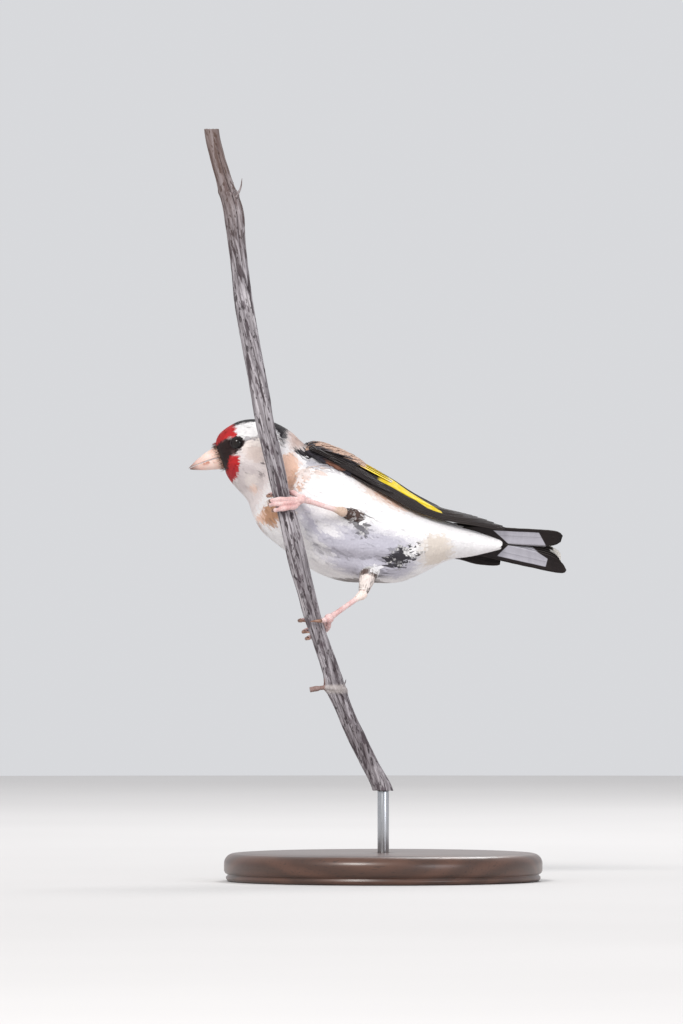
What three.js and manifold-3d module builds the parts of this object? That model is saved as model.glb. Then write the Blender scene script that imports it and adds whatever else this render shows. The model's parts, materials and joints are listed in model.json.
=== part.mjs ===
// A European goldfinch, life size, clinging sideways to a cut length of dry stem on a plain display stand.
// Millimetres, +Z up. The bird faces -X and is seen from -Y. The origin is the centre of the base's foot.
import * as THREE from "three";
import { mergeVertices } from "three/addons/utils/BufferGeometryUtils.js";
import Module from "manifold-3d";

const wasm = await Module();
wasm.setup();

// Clearance between neighbouring pieces
const gap = 0.3;

// Stand
const baseRadius = 50;
const baseHeight = 9;
const baseEdgeRound = 2.5;
const rodRadius = 1.8;

// Body: the torso is rolled about its own length, so that its left side is up and its belly faces the viewer
const bodyRoll = THREE.MathUtils.degToRad(63);
const bodySides = 28;

// Each station is one closed ring of the body, from the base of the bill to the tips of the tail coverts.
// top and low are the ring's two ends seen from the viewer, y is its distance behind the stem's axis,
// half is its half thickness front to back, and egg moves its widest level up.
const bodyStations = [
  { topX: -52.9, topZ: 136.6, lowX: -49.7, lowZ: 129.3, y: 13.8, half: 3.5, egg: 0 },
  { topX: -51.9, topZ: 140.0, lowX: -48.9, lowZ: 127.3, y: 13.8, half: 5.6, egg: 0.05 },
  { topX: -49.3, topZ: 142.4, lowX: -47.6, lowZ: 125.2, y: 13.8, half: 7.3, egg: 0.1 },
  { topX: -45.4, topZ: 144.5, lowX: -45.5, lowZ: 122.8, y: 13.8, half: 8.9, egg: 0.16 },
  { topX: -41.1, topZ: 145.2, lowX: -43.6, lowZ: 120.8, y: 14.0, half: 9.6, egg: 0.18 },
  { topX: -37.0, topZ: 144.9, lowX: -42.2, lowZ: 118.8, y: 14.8, half: 10.1, egg: 0.14 },
  { topX: -33.2, topZ: 143.7, lowX: -41.4, lowZ: 116.4, y: 16.2, half: 11.0, egg: 0.08 },
  { topX: -29.0, topZ: 141.2, lowX: -40.4, lowZ: 113.6, y: 18.2, half: 12.4, egg: 0.03 },
  { topX: -24.6, topZ: 137.2, lowX: -37.4, lowZ: 109.0, y: 20.4, half: 14.6, egg: 0 },
  { topX: -18.9, topZ: 134.9, lowX: -30.4, lowZ: 103.4, y: 22.1, half: 16.4, egg: 0 },
  { topX: -12.5, topZ: 131.8, lowX: -22.4, lowZ: 97.6, y: 23.0, half: 17.5, egg: 0 },
  { topX: -5.6, topZ: 127.6, lowX: -13.6, lowZ: 94.2, y: 23.4, half: 17.4, egg: 0 },
  { topX: 1.6, topZ: 122.8, lowX: -4.4, lowZ: 93.6, y: 23.5, half: 16.2, egg: 0 },
  { topX: 8.6, topZ: 118.2, lowX: 5.2, lowZ: 93.8, y: 23.6, half: 13.8, egg: 0 },
  { topX: 16.0, topZ: 114.6, lowX: 13.4, lowZ: 97.2, y: 23.7, half: 10.4, egg: 0 },
  { topX: 22.6, topZ: 112.4, lowX: 20.6, lowZ: 100.7, y: 23.6, half: 7.0, egg: 0 },
  { topX: 29.6, topZ: 110.2, lowX: 28.4, lowZ: 102.0, y: 23.2, half: 4.2, egg: 0 },
  { topX: 39.4, topZ: 106.0, lowX: 39.2, lowZ: 104.6, y: 22.4, half: 0.9, egg: 0 },
];

// Where the body is parted, counted in stations
const headEnd = 5;
const neckEnd = 7.4;
const torsoEnd = 14.2;
const coversEnd = 17;

// Head
const eyePlace = { x: -45.75, z: 137.6 };
const eyeRadius = 2.1;
const eyeSink = 1.3;
const lidRadius = 2.0;
const lidThickness = 0.42;

// Bill: the culmen, the line of the mouth and the lower edge, each from the base to the tip
const billHalfWidth = 3.3;
const culmen = { baseX: -53.2, baseZ: 136.3, tipX: -61.4, tipZ: 129.5, arch: 0.45 };
const mouth = { baseX: -51.7, baseZ: 133.0, tipX: -61.1, tipZ: 129.6, arch: 0.25 };
const billUnder = { baseX: -50.1, baseZ: 129.6, tipX: -60.7, tipZ: 129.25, arch: -0.3 };
const nostril = { x: -53.6, z: 134.9, radius: 0.55 };

// Dry stem: centre and horizontal width at each height
const stemStations = [
  { z: 28.4, x: 0.0, width: 6.6 },
  { z: 37.2, x: -4.4, width: 6.1 },
  { z: 46.6, x: -8.9, width: 6.2 },
  { z: 53.2, x: -11.9, width: 5.8 },
  { z: 60.2, x: -14.9, width: 6.5 },
  { z: 65.8, x: -16.4, width: 5.9 },
  { z: 75.3, x: -19.6, width: 5.4 },
  { z: 82.5, x: -22.1, width: 5.6 },
  { z: 89.8, x: -24.0, width: 5.8 },
  { z: 97.0, x: -26.0, width: 6.3 },
  { z: 104.3, x: -27.7, width: 6.5 },
  { z: 113.4, x: -29.8, width: 6.0 },
  { z: 120.6, x: -31.8, width: 5.5 },
  { z: 125.7, x: -32.9, width: 5.7 },
  { z: 135.1, x: -35.0, width: 6.0 },
  { z: 144.6, x: -37.3, width: 5.9 },
  { z: 154.4, x: -38.9, width: 6.0 },
  { z: 168.0, x: -41.4, width: 6.0 },
  { z: 181.8, x: -43.8, width: 6.0 },
  { z: 191.5, x: -45.0, width: 5.6 },
  { z: 201.0, x: -46.1, width: 5.7 },
  { z: 210.7, x: -47.1, width: 6.5 },
  { z: 220.2, x: -50.0, width: 5.3 },
  { z: 228.4, x: -52.4, width: 4.9 },
  { z: 236.2, x: -53.9, width: 4.7 },
];
const stemSides = 10;
const stemStep = 5.5;
const stemRidge = 0.04;

// Nodes of the stem, raised rings where side shoots once grew, and the stub left of one of them
const stemNodes = [
  { z: 60.4, rise: 0.5, half: 1.6 },
  { z: 216.0, rise: 0.35, half: 1.3 },
];
const stub = { from: [-15.5, -1.6, 60.9], to: [-23.0, -2.4, 60.1], baseRadius: 1.35, endRadius: 0.75 };

const mats = {
  plumage: new THREE.MeshStandardMaterial({ color: 0xe9e4e0, roughness: 0.9 }),
  face: new THREE.MeshStandardMaterial({ color: 0xd9d2cb, roughness: 0.9 }),
  flight: new THREE.MeshStandardMaterial({ color: 0x1d1b1f, roughness: 0.6 }),
  bill: new THREE.MeshStandardMaterial({ color: 0xe9d3c8, roughness: 0.45 }),
  eye: new THREE.MeshStandardMaterial({ color: 0x0c0a0a, roughness: 0.05 }),
  leg: new THREE.MeshStandardMaterial({ color: 0xd9a79b, roughness: 0.55 }),
  claw: new THREE.MeshStandardMaterial({ color: 0x8d6350, roughness: 0.4 }),
  stem: new THREE.MeshStandardMaterial({ color: 0x8f8890, roughness: 0.9 }),
  wood: new THREE.MeshStandardMaterial({ color: 0x4a3325, roughness: 0.5 }),
  steel: new THREE.MeshStandardMaterial({ color: 0xb9bcc0, roughness: 0.3, metalness: 1 }),
};

// Catmull-Rom value of every field of a list of stations, at a place counted in stations.
function stationAt(stations, place) {
  const last = stations.length - 1;
  const start = Math.min(Math.max(Math.floor(place), 0), last - 1);
  const t = place - start;
  const pick = (i) => stations[Math.min(Math.max(i, 0), last)];
  const [a, b, c, d] = [start - 1, start, start + 1, start + 2].map(pick);
  const value = {};
  for (const key of Object.keys(b)) {
    const bend = 2 * a[key] - 5 * b[key] + 4 * c[key] - d[key];
    const twist = 3 * (b[key] - c[key]) + d[key] - a[key];
    value[key] = b[key] + 0.5 * t * (c[key] - a[key] + t * (bend + t * twist));
  }
  return value;
}

// Closed mesh through equal rings of points, each end closed by a fan.
function loft(rings) {
  const count = rings[0].length;
  const points = rings.flat();
  const faces = [];
  for (let r = 0; r + 1 < rings.length; r += 1) {
    for (let i = 0; i < count; i += 1) {
      const a = r * count + i;
      const b = r * count + ((i + 1) % count);
      faces.push(a, b, b + count, a, b + count, a + count);
    }
  }
  for (const [ring, first, turn] of [[rings[0], 0, 1], [rings.at(-1), points.length - count, 0]]) {
    const middle = points.length;
    points.push(ring.reduce((sum, p) => sum.add(p), new THREE.Vector3()).divideScalar(count));
    for (let i = 0; i < count; i += 1) {
      const pair = [first + i, first + ((i + 1) % count)];
      faces.push(middle, pair[turn], pair[1 - turn]);
    }
  }
  return closedSolid(points, faces);
}

// Solid from points and faces, turned so that the faces point out.
function closedSolid(points, faces) {
  const corners = new Float32Array(points.flatMap((p) => [p.x, p.y, p.z]));
  let volume = 0;
  for (let i = 0; i < faces.length; i += 3) {
    const [a, b, c] = [points[faces[i]], points[faces[i + 1]], points[faces[i + 2]]];
    volume += a.dot(b.clone().cross(c));
  }
  const ordered = volume < 0 ? faces.slice().reverse() : faces;
  const body = new wasm.Mesh({ numProp: 3, vertProperties: corners, triVerts: new Uint32Array(ordered) });
  return new wasm.Manifold(body);
}

// A three.js geometry as a solid.
function solidOf(geometry) {
  const bare = geometry.clone();
  bare.deleteAttribute("normal");
  bare.deleteAttribute("uv");
  const merged = mergeVertices(bare, 1e-3);
  const vertProperties = new Float32Array(merged.attributes.position.array);
  return new wasm.Manifold(
    new wasm.Mesh({ numProp: 3, vertProperties, triVerts: new Uint32Array(merged.index.array) }),
  );
}

// All solids of a list fused, with only the largest closed body kept.
function fuse(solids) {
  const whole = solids.reduce((sum, solid) => sum.add(solid));
  return largest(whole);
}

function largest(solid) {
  const bodies = solid.decompose();
  return bodies.reduce((best, body) => (body.volume() > best.volume() ? body : best));
}

function nodeMesh(name, solid, material) {
  const body = solid.getMesh();
  const points = new Float32Array((body.vertProperties.length / body.numProp) * 3);
  for (let i = 0; i < points.length / 3; i += 1) {
    points.set(body.vertProperties.subarray(i * body.numProp, i * body.numProp + 3), i * 3);
  }
  const geometry = new THREE.BufferGeometry();
  geometry.setAttribute("position", new THREE.BufferAttribute(points, 3));
  geometry.setIndex(new THREE.BufferAttribute(new Uint32Array(body.triVerts), 1));
  geometry.computeVertexNormals();
  const node = new THREE.Mesh(geometry, material);
  node.name = name;
  return node;
}

// Ring of round section along a path, with its radius at each step, as a closed tube.
function taperedTube(path, radiusAt, sides, steps) {
  const frames = path.computeFrenetFrames(steps, false);
  const rings = [];
  for (let i = 0; i <= steps; i += 1) {
    const centre = path.getPointAt(i / steps);
    const radius = radiusAt(i / steps);
    const ring = [];
    for (let k = 0; k < sides; k += 1) {
      const turn = (k / sides) * 2 * Math.PI;
      const out = frames.normals[i].clone().multiplyScalar(Math.cos(turn));
      out.addScaledVector(frames.binormals[i], Math.sin(turn));
      ring.push(centre.clone().addScaledVector(out, radius));
    }
    rings.push(ring);
  }
  return loft(rings);
}

// Body surface

// The body's local axes at a station: its centre, its upright in the viewer's plane, its left and its back.
function bodyFrame(place) {
  const at = stationAt(bodyStations, place);
  const centre = new THREE.Vector3((at.topX + at.lowX) / 2, at.y, (at.topZ + at.lowZ) / 2);
  const upright = new THREE.Vector3(at.topX - at.lowX, 0, at.topZ - at.lowZ);
  const high = upright.length() / 2;
  upright.normalize();
  return { centre, upright, high, half: at.half, egg: at.egg, ...rolledAxes(upright) };
}

// The bird's left and back, from its upright in the viewer's plane and the direction away from the viewer.
function rolledAxes(upright) {
  const away = new THREE.Vector3(0, 1, 0);
  const left = upright.clone().multiplyScalar(Math.sin(bodyRoll)).addScaledVector(away, -Math.cos(bodyRoll));
  const back = upright.clone().multiplyScalar(Math.cos(bodyRoll)).addScaledVector(away, Math.sin(bodyRoll));
  return { away, left, back };
}

// Point of the body's surface. turn is 0 at the top of the ring and 90 degrees at its far side.
function bodyPoint(place, turn, grow = 0) {
  const frame = bodyFrame(place);
  const up = Math.cos(turn);
  const side = Math.sin(turn) * (1 + frame.egg * Math.cos(turn));
  return frame.centre
    .clone()
    .addScaledVector(frame.upright, up * (frame.high + grow))
    .addScaledVector(frame.away, side * (frame.half + grow));
}

// Length of the body's surface covered by two stations, as a closed solid.
function bodyLength(start, end, ringCount, grow = 0, sides = bodySides) {
  const rings = [];
  for (let r = 0; r < ringCount; r += 1) {
    const place = start + ((end - start) * r) / (ringCount - 1);
    const ring = [];
    for (let i = 0; i < sides; i += 1) {
      ring.push(bodyPoint(place, (i / sides) * 2 * Math.PI, grow));
    }
    rings.push(ring);
  }
  return loft(rings);
}

// Stations that leave half the gap on each side of a parting.
function besideParting(place, side) {
  const step = 0.05;
  const here = bodyFrame(place).centre;
  const there = bodyFrame(place + side * step).centre;
  return place + (side * step * gap * 0.6) / here.distanceTo(there);
}

// Head with lids round the eyes

function eyeCentre(side) {
  const radius = headDepthAt(eyePlace.x, eyePlace.z);
  const middle = bodyStations[3].y;
  return new THREE.Vector3(eyePlace.x, middle + side * (radius - eyeSink), eyePlace.z);
}

// Half thickness of the head at a point seen from the side.
function headDepthAt(x, z) {
  let best = 0;
  for (let place = 0; place <= headEnd; place += 0.02) {
    const frame = bodyFrame(place);
    const dx = x - frame.centre.x;
    const dz = z - frame.centre.z;
    const along = dx * frame.upright.x + dz * frame.upright.z;
    const across = Math.abs(dx * frame.upright.z - dz * frame.upright.x);
    if (across < 0.25 && Math.abs(along) < frame.high) {
      const up = along / frame.high;
      const depth = frame.half * Math.sqrt(1 - up * up) * (1 + frame.egg * up);
      best = Math.max(best, depth);
    }
  }
  return best;
}

function lidRing(side) {
  const centre = eyeCentre(side);
  const ring = new THREE.TorusGeometry(lidRadius, lidThickness, 4, 14);
  ring.rotateX(Math.PI / 2);
  ring.scale(1.12, 1, 0.96);
  ring.rotateZ(side * 0.12);
  ring.translate(centre.x, centre.y + side * 0.75, centre.z);
  return solidOf(ring);
}

function ball(centre, radius, width = 14, height = 8) {
  const sphere = new THREE.SphereGeometry(radius, width, height);
  sphere.translate(centre.x, centre.y, centre.z);
  return solidOf(sphere);
}

function headSolid() {
  const skull = bodyLength(0, besideParting(headEnd, -1), 14);
  const lids = [-1, 1].map(lidRing);
  const sockets = [-1, 1].map((side) => ball(eyeCentre(side), eyeRadius + gap));
  return largest(fuse([skull, ...lids]).subtract(sockets[0]).subtract(sockets[1]));
}

// Bill

function billLine(line, t) {
  const rise = line.arch * 4 * t * (1 - t);
  const x = THREE.MathUtils.lerp(line.baseX, line.tipX, t);
  const z = THREE.MathUtils.lerp(line.baseZ, line.tipZ, t);
  return { x: x - rise * 0.6, z: z + rise };
}

// Half of the bill between its outer line and the mouth, arched on the outside and flat on the mouth.
function billHalf(outer, mouthShift, endAt) {
  const ringCount = 9;
  const archPoints = 8;
  const rings = [];
  for (let r = 0; r < ringCount; r += 1) {
    const t = (r / (ringCount - 1)) * endAt;
    const edge = billLine(outer, t);
    const inner = billLine(mouth, t);
    const wide = billHalfWidth * Math.pow(1 - t, 0.8) + 0.1;
    const ring = [];
    for (let i = 0; i <= archPoints; i += 1) {
      const turn = (i / archPoints) * Math.PI;
      const lift = Math.sin(turn);
      const x = THREE.MathUtils.lerp(inner.x, edge.x, lift);
      const z = THREE.MathUtils.lerp(inner.z + mouthShift, edge.z, lift);
      ring.push(new THREE.Vector3(x, bodyStations[0].y + wide * Math.cos(turn), z));
    }
    rings.push(ring);
  }
  return loft(rings);
}

function billUpper() {
  const whole = billHalf(culmen, gap / 2, 0.99);
  const pits = [-1, 1].map((side) => {
    const place = new THREE.Vector3(nostril.x, bodyStations[0].y + side * 2.35, nostril.z);
    return ball(place, nostril.radius, 8, 6);
  });
  return largest(whole.subtract(pits[0]).subtract(pits[1]));
}

// Stem

function stemAt(z) {
  const last = stemStations.length - 1;
  let i = 0;
  while (i < last - 1 && stemStations[i + 1].z < z) {
    i += 1;
  }
  const t = (z - stemStations[i].z) / (stemStations[i + 1].z - stemStations[i].z);
  const at = stationAt(stemStations, i + t);
  const lean = (stemStations[i + 1].x - stemStations[i].x) / (stemStations[i + 1].z - stemStations[i].z);
  return { x: at.x, z, radius: at.width / 2, slant: Math.cos(Math.atan(lean)) };
}

// Point round the stem at a height. turn is 0 on its right, 90 degrees behind it and 270 in front.
function roundStem(z, turnDegrees, clear) {
  const at = stemAt(z);
  const turn = THREE.MathUtils.degToRad(turnDegrees);
  const reach = at.radius + clear / at.slant;
  return new THREE.Vector3(at.x + Math.cos(turn) * reach, Math.sin(turn) * reach, z);
}

function stemSolid() {
  const lowest = stemStations[0].z;
  const highest = stemStations.at(-1).z;
  const steps = Math.round((highest - lowest) / stemStep);
  const heights = [];
  for (let r = 0; r <= steps; r += 1) {
    const z = lowest + ((highest - lowest) * r) / steps;
    if (stemNodes.every((node) => Math.abs(z - node.z) > node.half + 1)) {
      heights.push(z);
    }
  }
  for (const node of stemNodes) {
    heights.push(node.z - node.half, node.z, node.z + node.half);
  }
  heights.sort((a, b) => a - b);
  const rings = [];
  for (const z of heights) {
    const at = stemAt(z);
    const rise = stemNodes.find((node) => node.z === z)?.rise ?? 0;
    const ring = [];
    for (let i = 0; i < stemSides; i += 1) {
      const turn = (i / stemSides) * 2 * Math.PI;
      const ridge = 1 - stemRidge * (0.5 + 0.5 * Math.sin(3 * turn + z * 0.05 + Math.sin(z * 0.11)));
      const reach = at.radius * ridge + rise;
      ring.push(new THREE.Vector3(at.x + Math.cos(turn) * reach, Math.sin(turn) * reach * at.slant, z));
    }
    rings.push(ring);
  }
  const stubPath = new THREE.LineCurve3(new THREE.Vector3(...stub.from), new THREE.Vector3(...stub.to));
  const side = taperedTube(stubPath, (t) => THREE.MathUtils.lerp(stub.baseRadius, stub.endRadius, t), 7, 2);
  return fuse([loft(rings), side]);
}

// Legs

const legs = [
  {
    side: "left",
    hip: new THREE.Vector3(-3.0, 13.5, 112.5),
    heel: new THREE.Vector3(-12.6, 3.2, 115.9),
    pad: new THREE.Vector3(-25.6, -2.4, 120.0),
    toes: [
      { name: "hind", turns: [20, 75, 125, 168], heights: [121.8, 122.0, 121.6, 121.0] },
      { name: "inner", turns: [-40, -80, -115, -150], heights: [119.8, 119.9, 119.8, 119.4] },
      { name: "middle", turns: [-40, -85, -130, -172], heights: [118.8, 118.6, 118.4, 118.2] },
      { name: "outer", turns: [-35, -75, -110, -145], heights: [117.8, 117.2, 116.8, 116.4] },
    ],
  },
  {
    side: "right",
    hip: new THREE.Vector3(-3.4, 15.5, 100.5),
    heel: new THREE.Vector3(-6.4, 6.8, 90.0),
    pad: new THREE.Vector3(-17.0, -0.6, 82.5),
    toes: [
      { name: "hind", turns: [-18, -32, -46, -58], heights: [82.2, 82.0, 81.9, 81.8] },
      { name: "inner", turns: [36, 82, 130, 174], heights: [81.7, 82.0, 82.0, 81.8] },
      { name: "middle", turns: [32, 80, 132, 176], heights: [80.7, 79.8, 78.9, 78.3] },
      { name: "outer", turns: [24, 66, 112, 158], heights: [79.9, 78.2, 77.0, 76.2] },
    ],
  },
];
const toeRadius = 1.05;
const toeTipRadius = 0.75;
const tarsusRadius = 0.8;
const heelRadius = 1.55;
const padRadius = 1.6;
const clawBaseRadius = 0.6;
const clawTurn = 42;

function toePath(leg, toe) {
  const clear = toeRadius + gap + 0.1;
  const wrapped = toe.turns.map((turn, i) => roundStem(toe.heights[i], turn, clear));
  return new THREE.CatmullRomCurve3([leg.pad, ...wrapped], false, "centripetal");
}

function toeSolid(leg, toe) {
  const joints = 3;
  const thickness = (t) => {
    const knuckle = 0.08 * Math.cos(t * joints * 2 * Math.PI);
    return THREE.MathUtils.lerp(toeRadius, toeTipRadius, t) * (1 - 0.08 + knuckle);
  };
  return taperedTube(toePath(leg, toe), thickness, 6, 9);
}

// Claw that leaves its toe's end and curls on round the stem.
function clawSolid(leg, toe) {
  const toeLine = toePath(leg, toe);
  const end = toeLine.getPointAt(1);
  const heading = toeLine.getTangentAt(1);
  const spin = Math.sign(toe.turns.at(-1) - toe.turns.at(-2));
  const points = [end.clone().addScaledVector(heading, gap + 0.1)];
  for (const t of [0.5, 1]) {
    const turn = toe.turns.at(-1) + spin * (8 + clawTurn * t);
    points.push(roundStem(end.z - 0.25 * t, turn, THREE.MathUtils.lerp(1.35, 0.7, t)));
  }
  const path = new THREE.CatmullRomCurve3(points, false, "centripetal");
  return taperedTube(path, (t) => THREE.MathUtils.lerp(clawBaseRadius, 0.1, t), 5, 4);
}

function footSolid(leg) {
  const toes = leg.toes.map((toe) => toeSolid(leg, toe));
  return fuse([ball(leg.pad, padRadius, 10, 8), ...toes]);
}

function tarsusSolid(leg) {
  const along = leg.pad.clone().sub(leg.heel).normalize();
  const start = leg.heel.clone().addScaledVector(along, -heelRadius * 0.9);
  const end = leg.pad.clone().addScaledVector(along, -(padRadius + gap));
  const path = new THREE.LineCurve3(start, end);
  const thickness = (t) => {
    const heel = Math.exp(-Math.pow((t - 0.13) / 0.13, 2));
    const ankle = Math.exp(-Math.pow((t - 1) / 0.12, 2));
    return tarsusRadius + (heelRadius - tarsusRadius) * heel + 0.25 * ankle - (t === 0 ? 0.5 : 0);
  };
  return taperedTube(path, thickness, 8, 10);
}

// Feathered shin between the belly and the heel, cut clear of the body.
function thighSolid(leg, bodyClear) {
  const along = leg.heel.clone().sub(leg.hip).normalize();
  const end = leg.heel.clone().addScaledVector(along, -(heelRadius + gap + 0.2));
  const path = new THREE.LineCurve3(leg.hip, end);
  const shin = taperedTube(path, (t) => THREE.MathUtils.lerp(4.6, 1.5, t), 12, 5);
  return largest(shin.subtract(bodyClear));
}

// Feathers

const longBlade = [0, 0.3, 0.55, 0.78, 0.93, 0.99];
const shortBlade = [0, 0.4, 0.8, 0.98];

// A feather is a thin blade, thickest along its shaft, with the same triangles on both faces.
// placeAt(t, across, lift) gives its points: t from root to tip, across in millimetres, lift off the sheet.
function bladeSolid(placeAt, shape) {
  const { halfWidth, thickness, steps, tipStart, tilt } = shape;
  const points = [];
  const faces = [];
  for (const t of steps) {
    const rootGrow = Math.min(1, 0.5 + 1.6 * t);
    const pastStart = Math.max(0, t - tipStart) / (1 - tipStart);
    const tipShrink = Math.sqrt(1 - pastStart * pastStart);
    const wide = halfWidth * rootGrow * tipShrink;
    const thick = (thickness / 2) * (t > 0.95 ? 0.5 : 1);
    points.push(placeAt(t, -wide, -tilt * wide));
    points.push(placeAt(t, 0, thick));
    points.push(placeAt(t, wide, tilt * wide));
    points.push(placeAt(t, 0, -thick));
  }
  for (let i = 0; i + 1 < steps.length; i += 1) {
    const a = 4 * i;
    const b = a + 4;
    const [low, top, high, under] = [0, 1, 2, 3];
    faces.push(a + low, a + top, b + low, b + low, a + top, b + top);
    faces.push(a + top, a + high, b + high, a + top, b + high, b + top);
    faces.push(a + high, a + under, b + high, b + high, a + under, b + under);
    faces.push(a + under, a + low, b + low, a + under, b + low, b + under);
  }
  const end = 4 * (steps.length - 1);
  faces.push(0, 3, 1, 1, 3, 2);
  faces.push(end, end + 1, end + 3, end + 1, end + 2, end + 3);
  return closedSolid(points, faces);
}

// Wings

const wingLength = 72;

// Sheet on which a folded wing lies, at even steps from the bend of the wing to its tip: the body station,
// the sheet's height over the body, how much flatter it is over the back, the angle of its lower edge from
// the middle of the back, and how much higher and farther out the right wing lies.
const wingStations = [
  { station: 7.9, over: -1.3, flatter: 0, low: 96, farRaise: 8, farOver: 0 },
  { station: 9.3, over: -0.8, flatter: 0, low: 98, farRaise: 8, farOver: 0 },
  { station: 10.9, over: 0.1, flatter: 0, low: 99, farRaise: 12, farOver: 0 },
  { station: 12.6, over: 1.0, flatter: 0.4, low: 99, farRaise: 22, farOver: 0 },
  { station: 14.2, over: 1.2, flatter: 0.8, low: 99, farRaise: 36, farOver: 0 },
  { station: 15.6, over: 2.5, flatter: 1.2, low: 101, farRaise: 42, farOver: 0.2 },
  { station: 16.8, over: 4.1, flatter: 1.8, low: 106, farRaise: 12, farOver: 1.1 },
];

// Distance from the body's middle to its surface towards its left side or its back.
function bodyReach(frame, out) {
  return 1 / Math.hypot(out.dot(frame.upright) / frame.high, out.dot(frame.away) / frame.half);
}

function wingPlace(side, along, across, lift) {
  const at = stationAt(wingStations, (along / wingLength) * (wingStations.length - 1));
  const frame = bodyFrame(at.station);
  const over = at.over + (side < 0 ? at.farOver : 0);
  const wide = bodyReach(frame, frame.left) + over;
  const deep = bodyReach(frame, frame.back) + over - at.flatter;
  const low = THREE.MathUtils.degToRad(at.low - (side < 0 ? at.farRaise : 0));
  const turn = low - (2 * across) / (wide + deep);
  return frame.centre
    .clone()
    .addScaledVector(frame.left, side * (wide + lift) * Math.sin(turn))
    .addScaledVector(frame.back, (deep + lift) * Math.cos(turn));
}

// Tiers of the folded wing, each from its lowest feather to its uppermost one: the places of the first and
// the last feather's root and tip, along and across the wing, with their lift off the sheet and half width.
const wingTiers = [
  // Primaries, secondaries and tertials
  { count: 6, root: [[16, 2.5], [20, 7]], tip: [[72.6, 1.9], [56, 6.2]], lift: [0.9, 1.7], half: [2.2, 2.8] },
  { count: 4, root: [[20, 7], [22, 13]], tip: [[51, 7.4], [47.5, 12.0]], lift: [1.9, 2.3], half: [3.2, 3.6] },
  { count: 3, root: [[22, 14], [22, 18]], tip: [[50, 11.0], [41, 15.2]], lift: [2.4, 2.8], half: [3.2, 3.6] },
  // Primary coverts, greater coverts, median coverts and alula
  { count: 2, root: [[12, 1.8], [13, 4]], tip: [[33, 1.4], [28, 4.0]], lift: [1.9, 2.2], half: [1.9, 2.2] },
  { count: 6, root: [[13, 5], [14, 20]], tip: [[29.5, 5], [30.5, 19.6]], lift: [2.9, 3.2], half: [2.4, 2.7] },
  { count: 4, root: [[8, 4.6], [8, 17.5]], tip: [[19.5, 4.6], [21, 18]], lift: [3.2, 3.4], half: [2.9, 3.2] },
  { count: 1, root: [[4, 2.2], [4, 2.2]], tip: [[18, 1.8], [18, 1.8]], lift: [2.4, 2.4], half: [1.7, 1.7] },
];
const wingSeeds = { left: 11, right: 11 };
const longTilt = -0.14;
const shortTilt = -0.3;
const longFeather = 24;

// The arm under the small coverts, a crowned pad that holds every feather's root.
const arm = { start: 0.6, length: 25, middle: 10.6, half: 10.4, roundFront: 0.45 };
const armLift = { under: 0.1, edge: 0.9, crown: 2.2 };

function wingArm(side) {
  const steps = 7;
  const acrossSteps = 6;
  const rings = [];
  for (let i = 0; i <= steps; i += 1) {
    const t = i / steps;
    const along = arm.start + arm.length * t;
    const fullness = Math.sqrt(Math.max(0.05, 1 - Math.pow(2 * t - 1, 4))) * Math.min(1, 0.55 + 1.5 * t);
    const front = Math.max(0, arm.roundFront - t) / (arm.roundFront + 0.01);
    const half = arm.half * Math.sqrt(1 - front * front);
    const ring = [];
    for (let k = 0; k <= acrossSteps; k += 1) {
      const c = -1 + (2 * k) / acrossSteps;
      const lift = armLift.edge + armLift.crown * fullness * Math.sqrt(1 - c * c * 0.98);
      ring.push(wingPlace(side, along, arm.middle + half * c, lift));
    }
    for (let k = acrossSteps - 1; k > 0; k -= 1) {
      const c = -1 + (2 * k) / acrossSteps;
      ring.push(wingPlace(side, along, arm.middle + half * c, armLift.under));
    }
    rings.push(ring);
  }
  return loft(rings);
}

function wingFeathers(side) {
  const random = seeded(side > 0 ? wingSeeds.left : wingSeeds.right);
  const feathers = [];
  for (const tier of wingTiers) {
    for (let i = 0; i < tier.count; i += 1) {
      const t = tier.count > 1 ? i / (tier.count - 1) : 0;
      const mix = (pair) => THREE.MathUtils.lerp(pair[0], pair[1], t);
      const root = [0, 1].map((k) => THREE.MathUtils.lerp(tier.root[0][k], tier.root[1][k], t));
      const tip = [0, 1].map((k) => THREE.MathUtils.lerp(tier.tip[0][k], tier.tip[1][k], t));
      const length = tip[0] + (random() - 0.5) * 0.8;
      const lift = mix(tier.lift);
      const placeAt = (s, across, rise) => {
        const along = THREE.MathUtils.lerp(root[0], length, s);
        const middle = THREE.MathUtils.lerp(root[1], tip[1], s);
        return wingPlace(side, along, middle + across, lift + rise - 0.35 * s);
      };
      const isLong = length - root[0] > longFeather;
      const steps = isLong ? longBlade : shortBlade;
      const tilt = isLong ? longTilt : shortTilt;
      const shape = { halfWidth: mix(tier.half), thickness: 0.6, steps, tipStart: 0.7, tilt };
      feathers.push(bladeSolid(placeAt, shape));
    }
  }
  return feathers;
}

function wingSolid(side, clearances) {
  const whole = fuse([wingArm(side), ...wingFeathers(side)]);
  return largest(clearances.reduce((wing, clear) => wing.subtract(clear), whole));
}

// Small seeded random source, so that every run draws the same feathers.
function seeded(seed) {
  let state = seed;
  return () => {
    state = (state * 1664525 + 1013904223) % 4294967296;
    return state / 4294967296;
  };
}

// Tail

const tailRoot = new THREE.Vector3(19, 23.3, 109.0);
const tailHeading = new THREE.Vector3(0.988, 0.02, -0.14).normalize();
const tailPairs = 6;
const tailOuterLength = { left: 37.4, right: 39.8 };
const tailFork = 4.0;
const tailHalfWidth = 3.1;
const tailThickness = 0.7;

function tailPlace(along, across, lift) {
  const upright = new THREE.Vector3(-tailHeading.z, 0, tailHeading.x).normalize();
  const { left, back } = rolledAxes(upright);
  const place = tailRoot.clone().addScaledVector(tailHeading, along);
  return place.addScaledVector(left, across).addScaledVector(back, lift);
}

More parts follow.
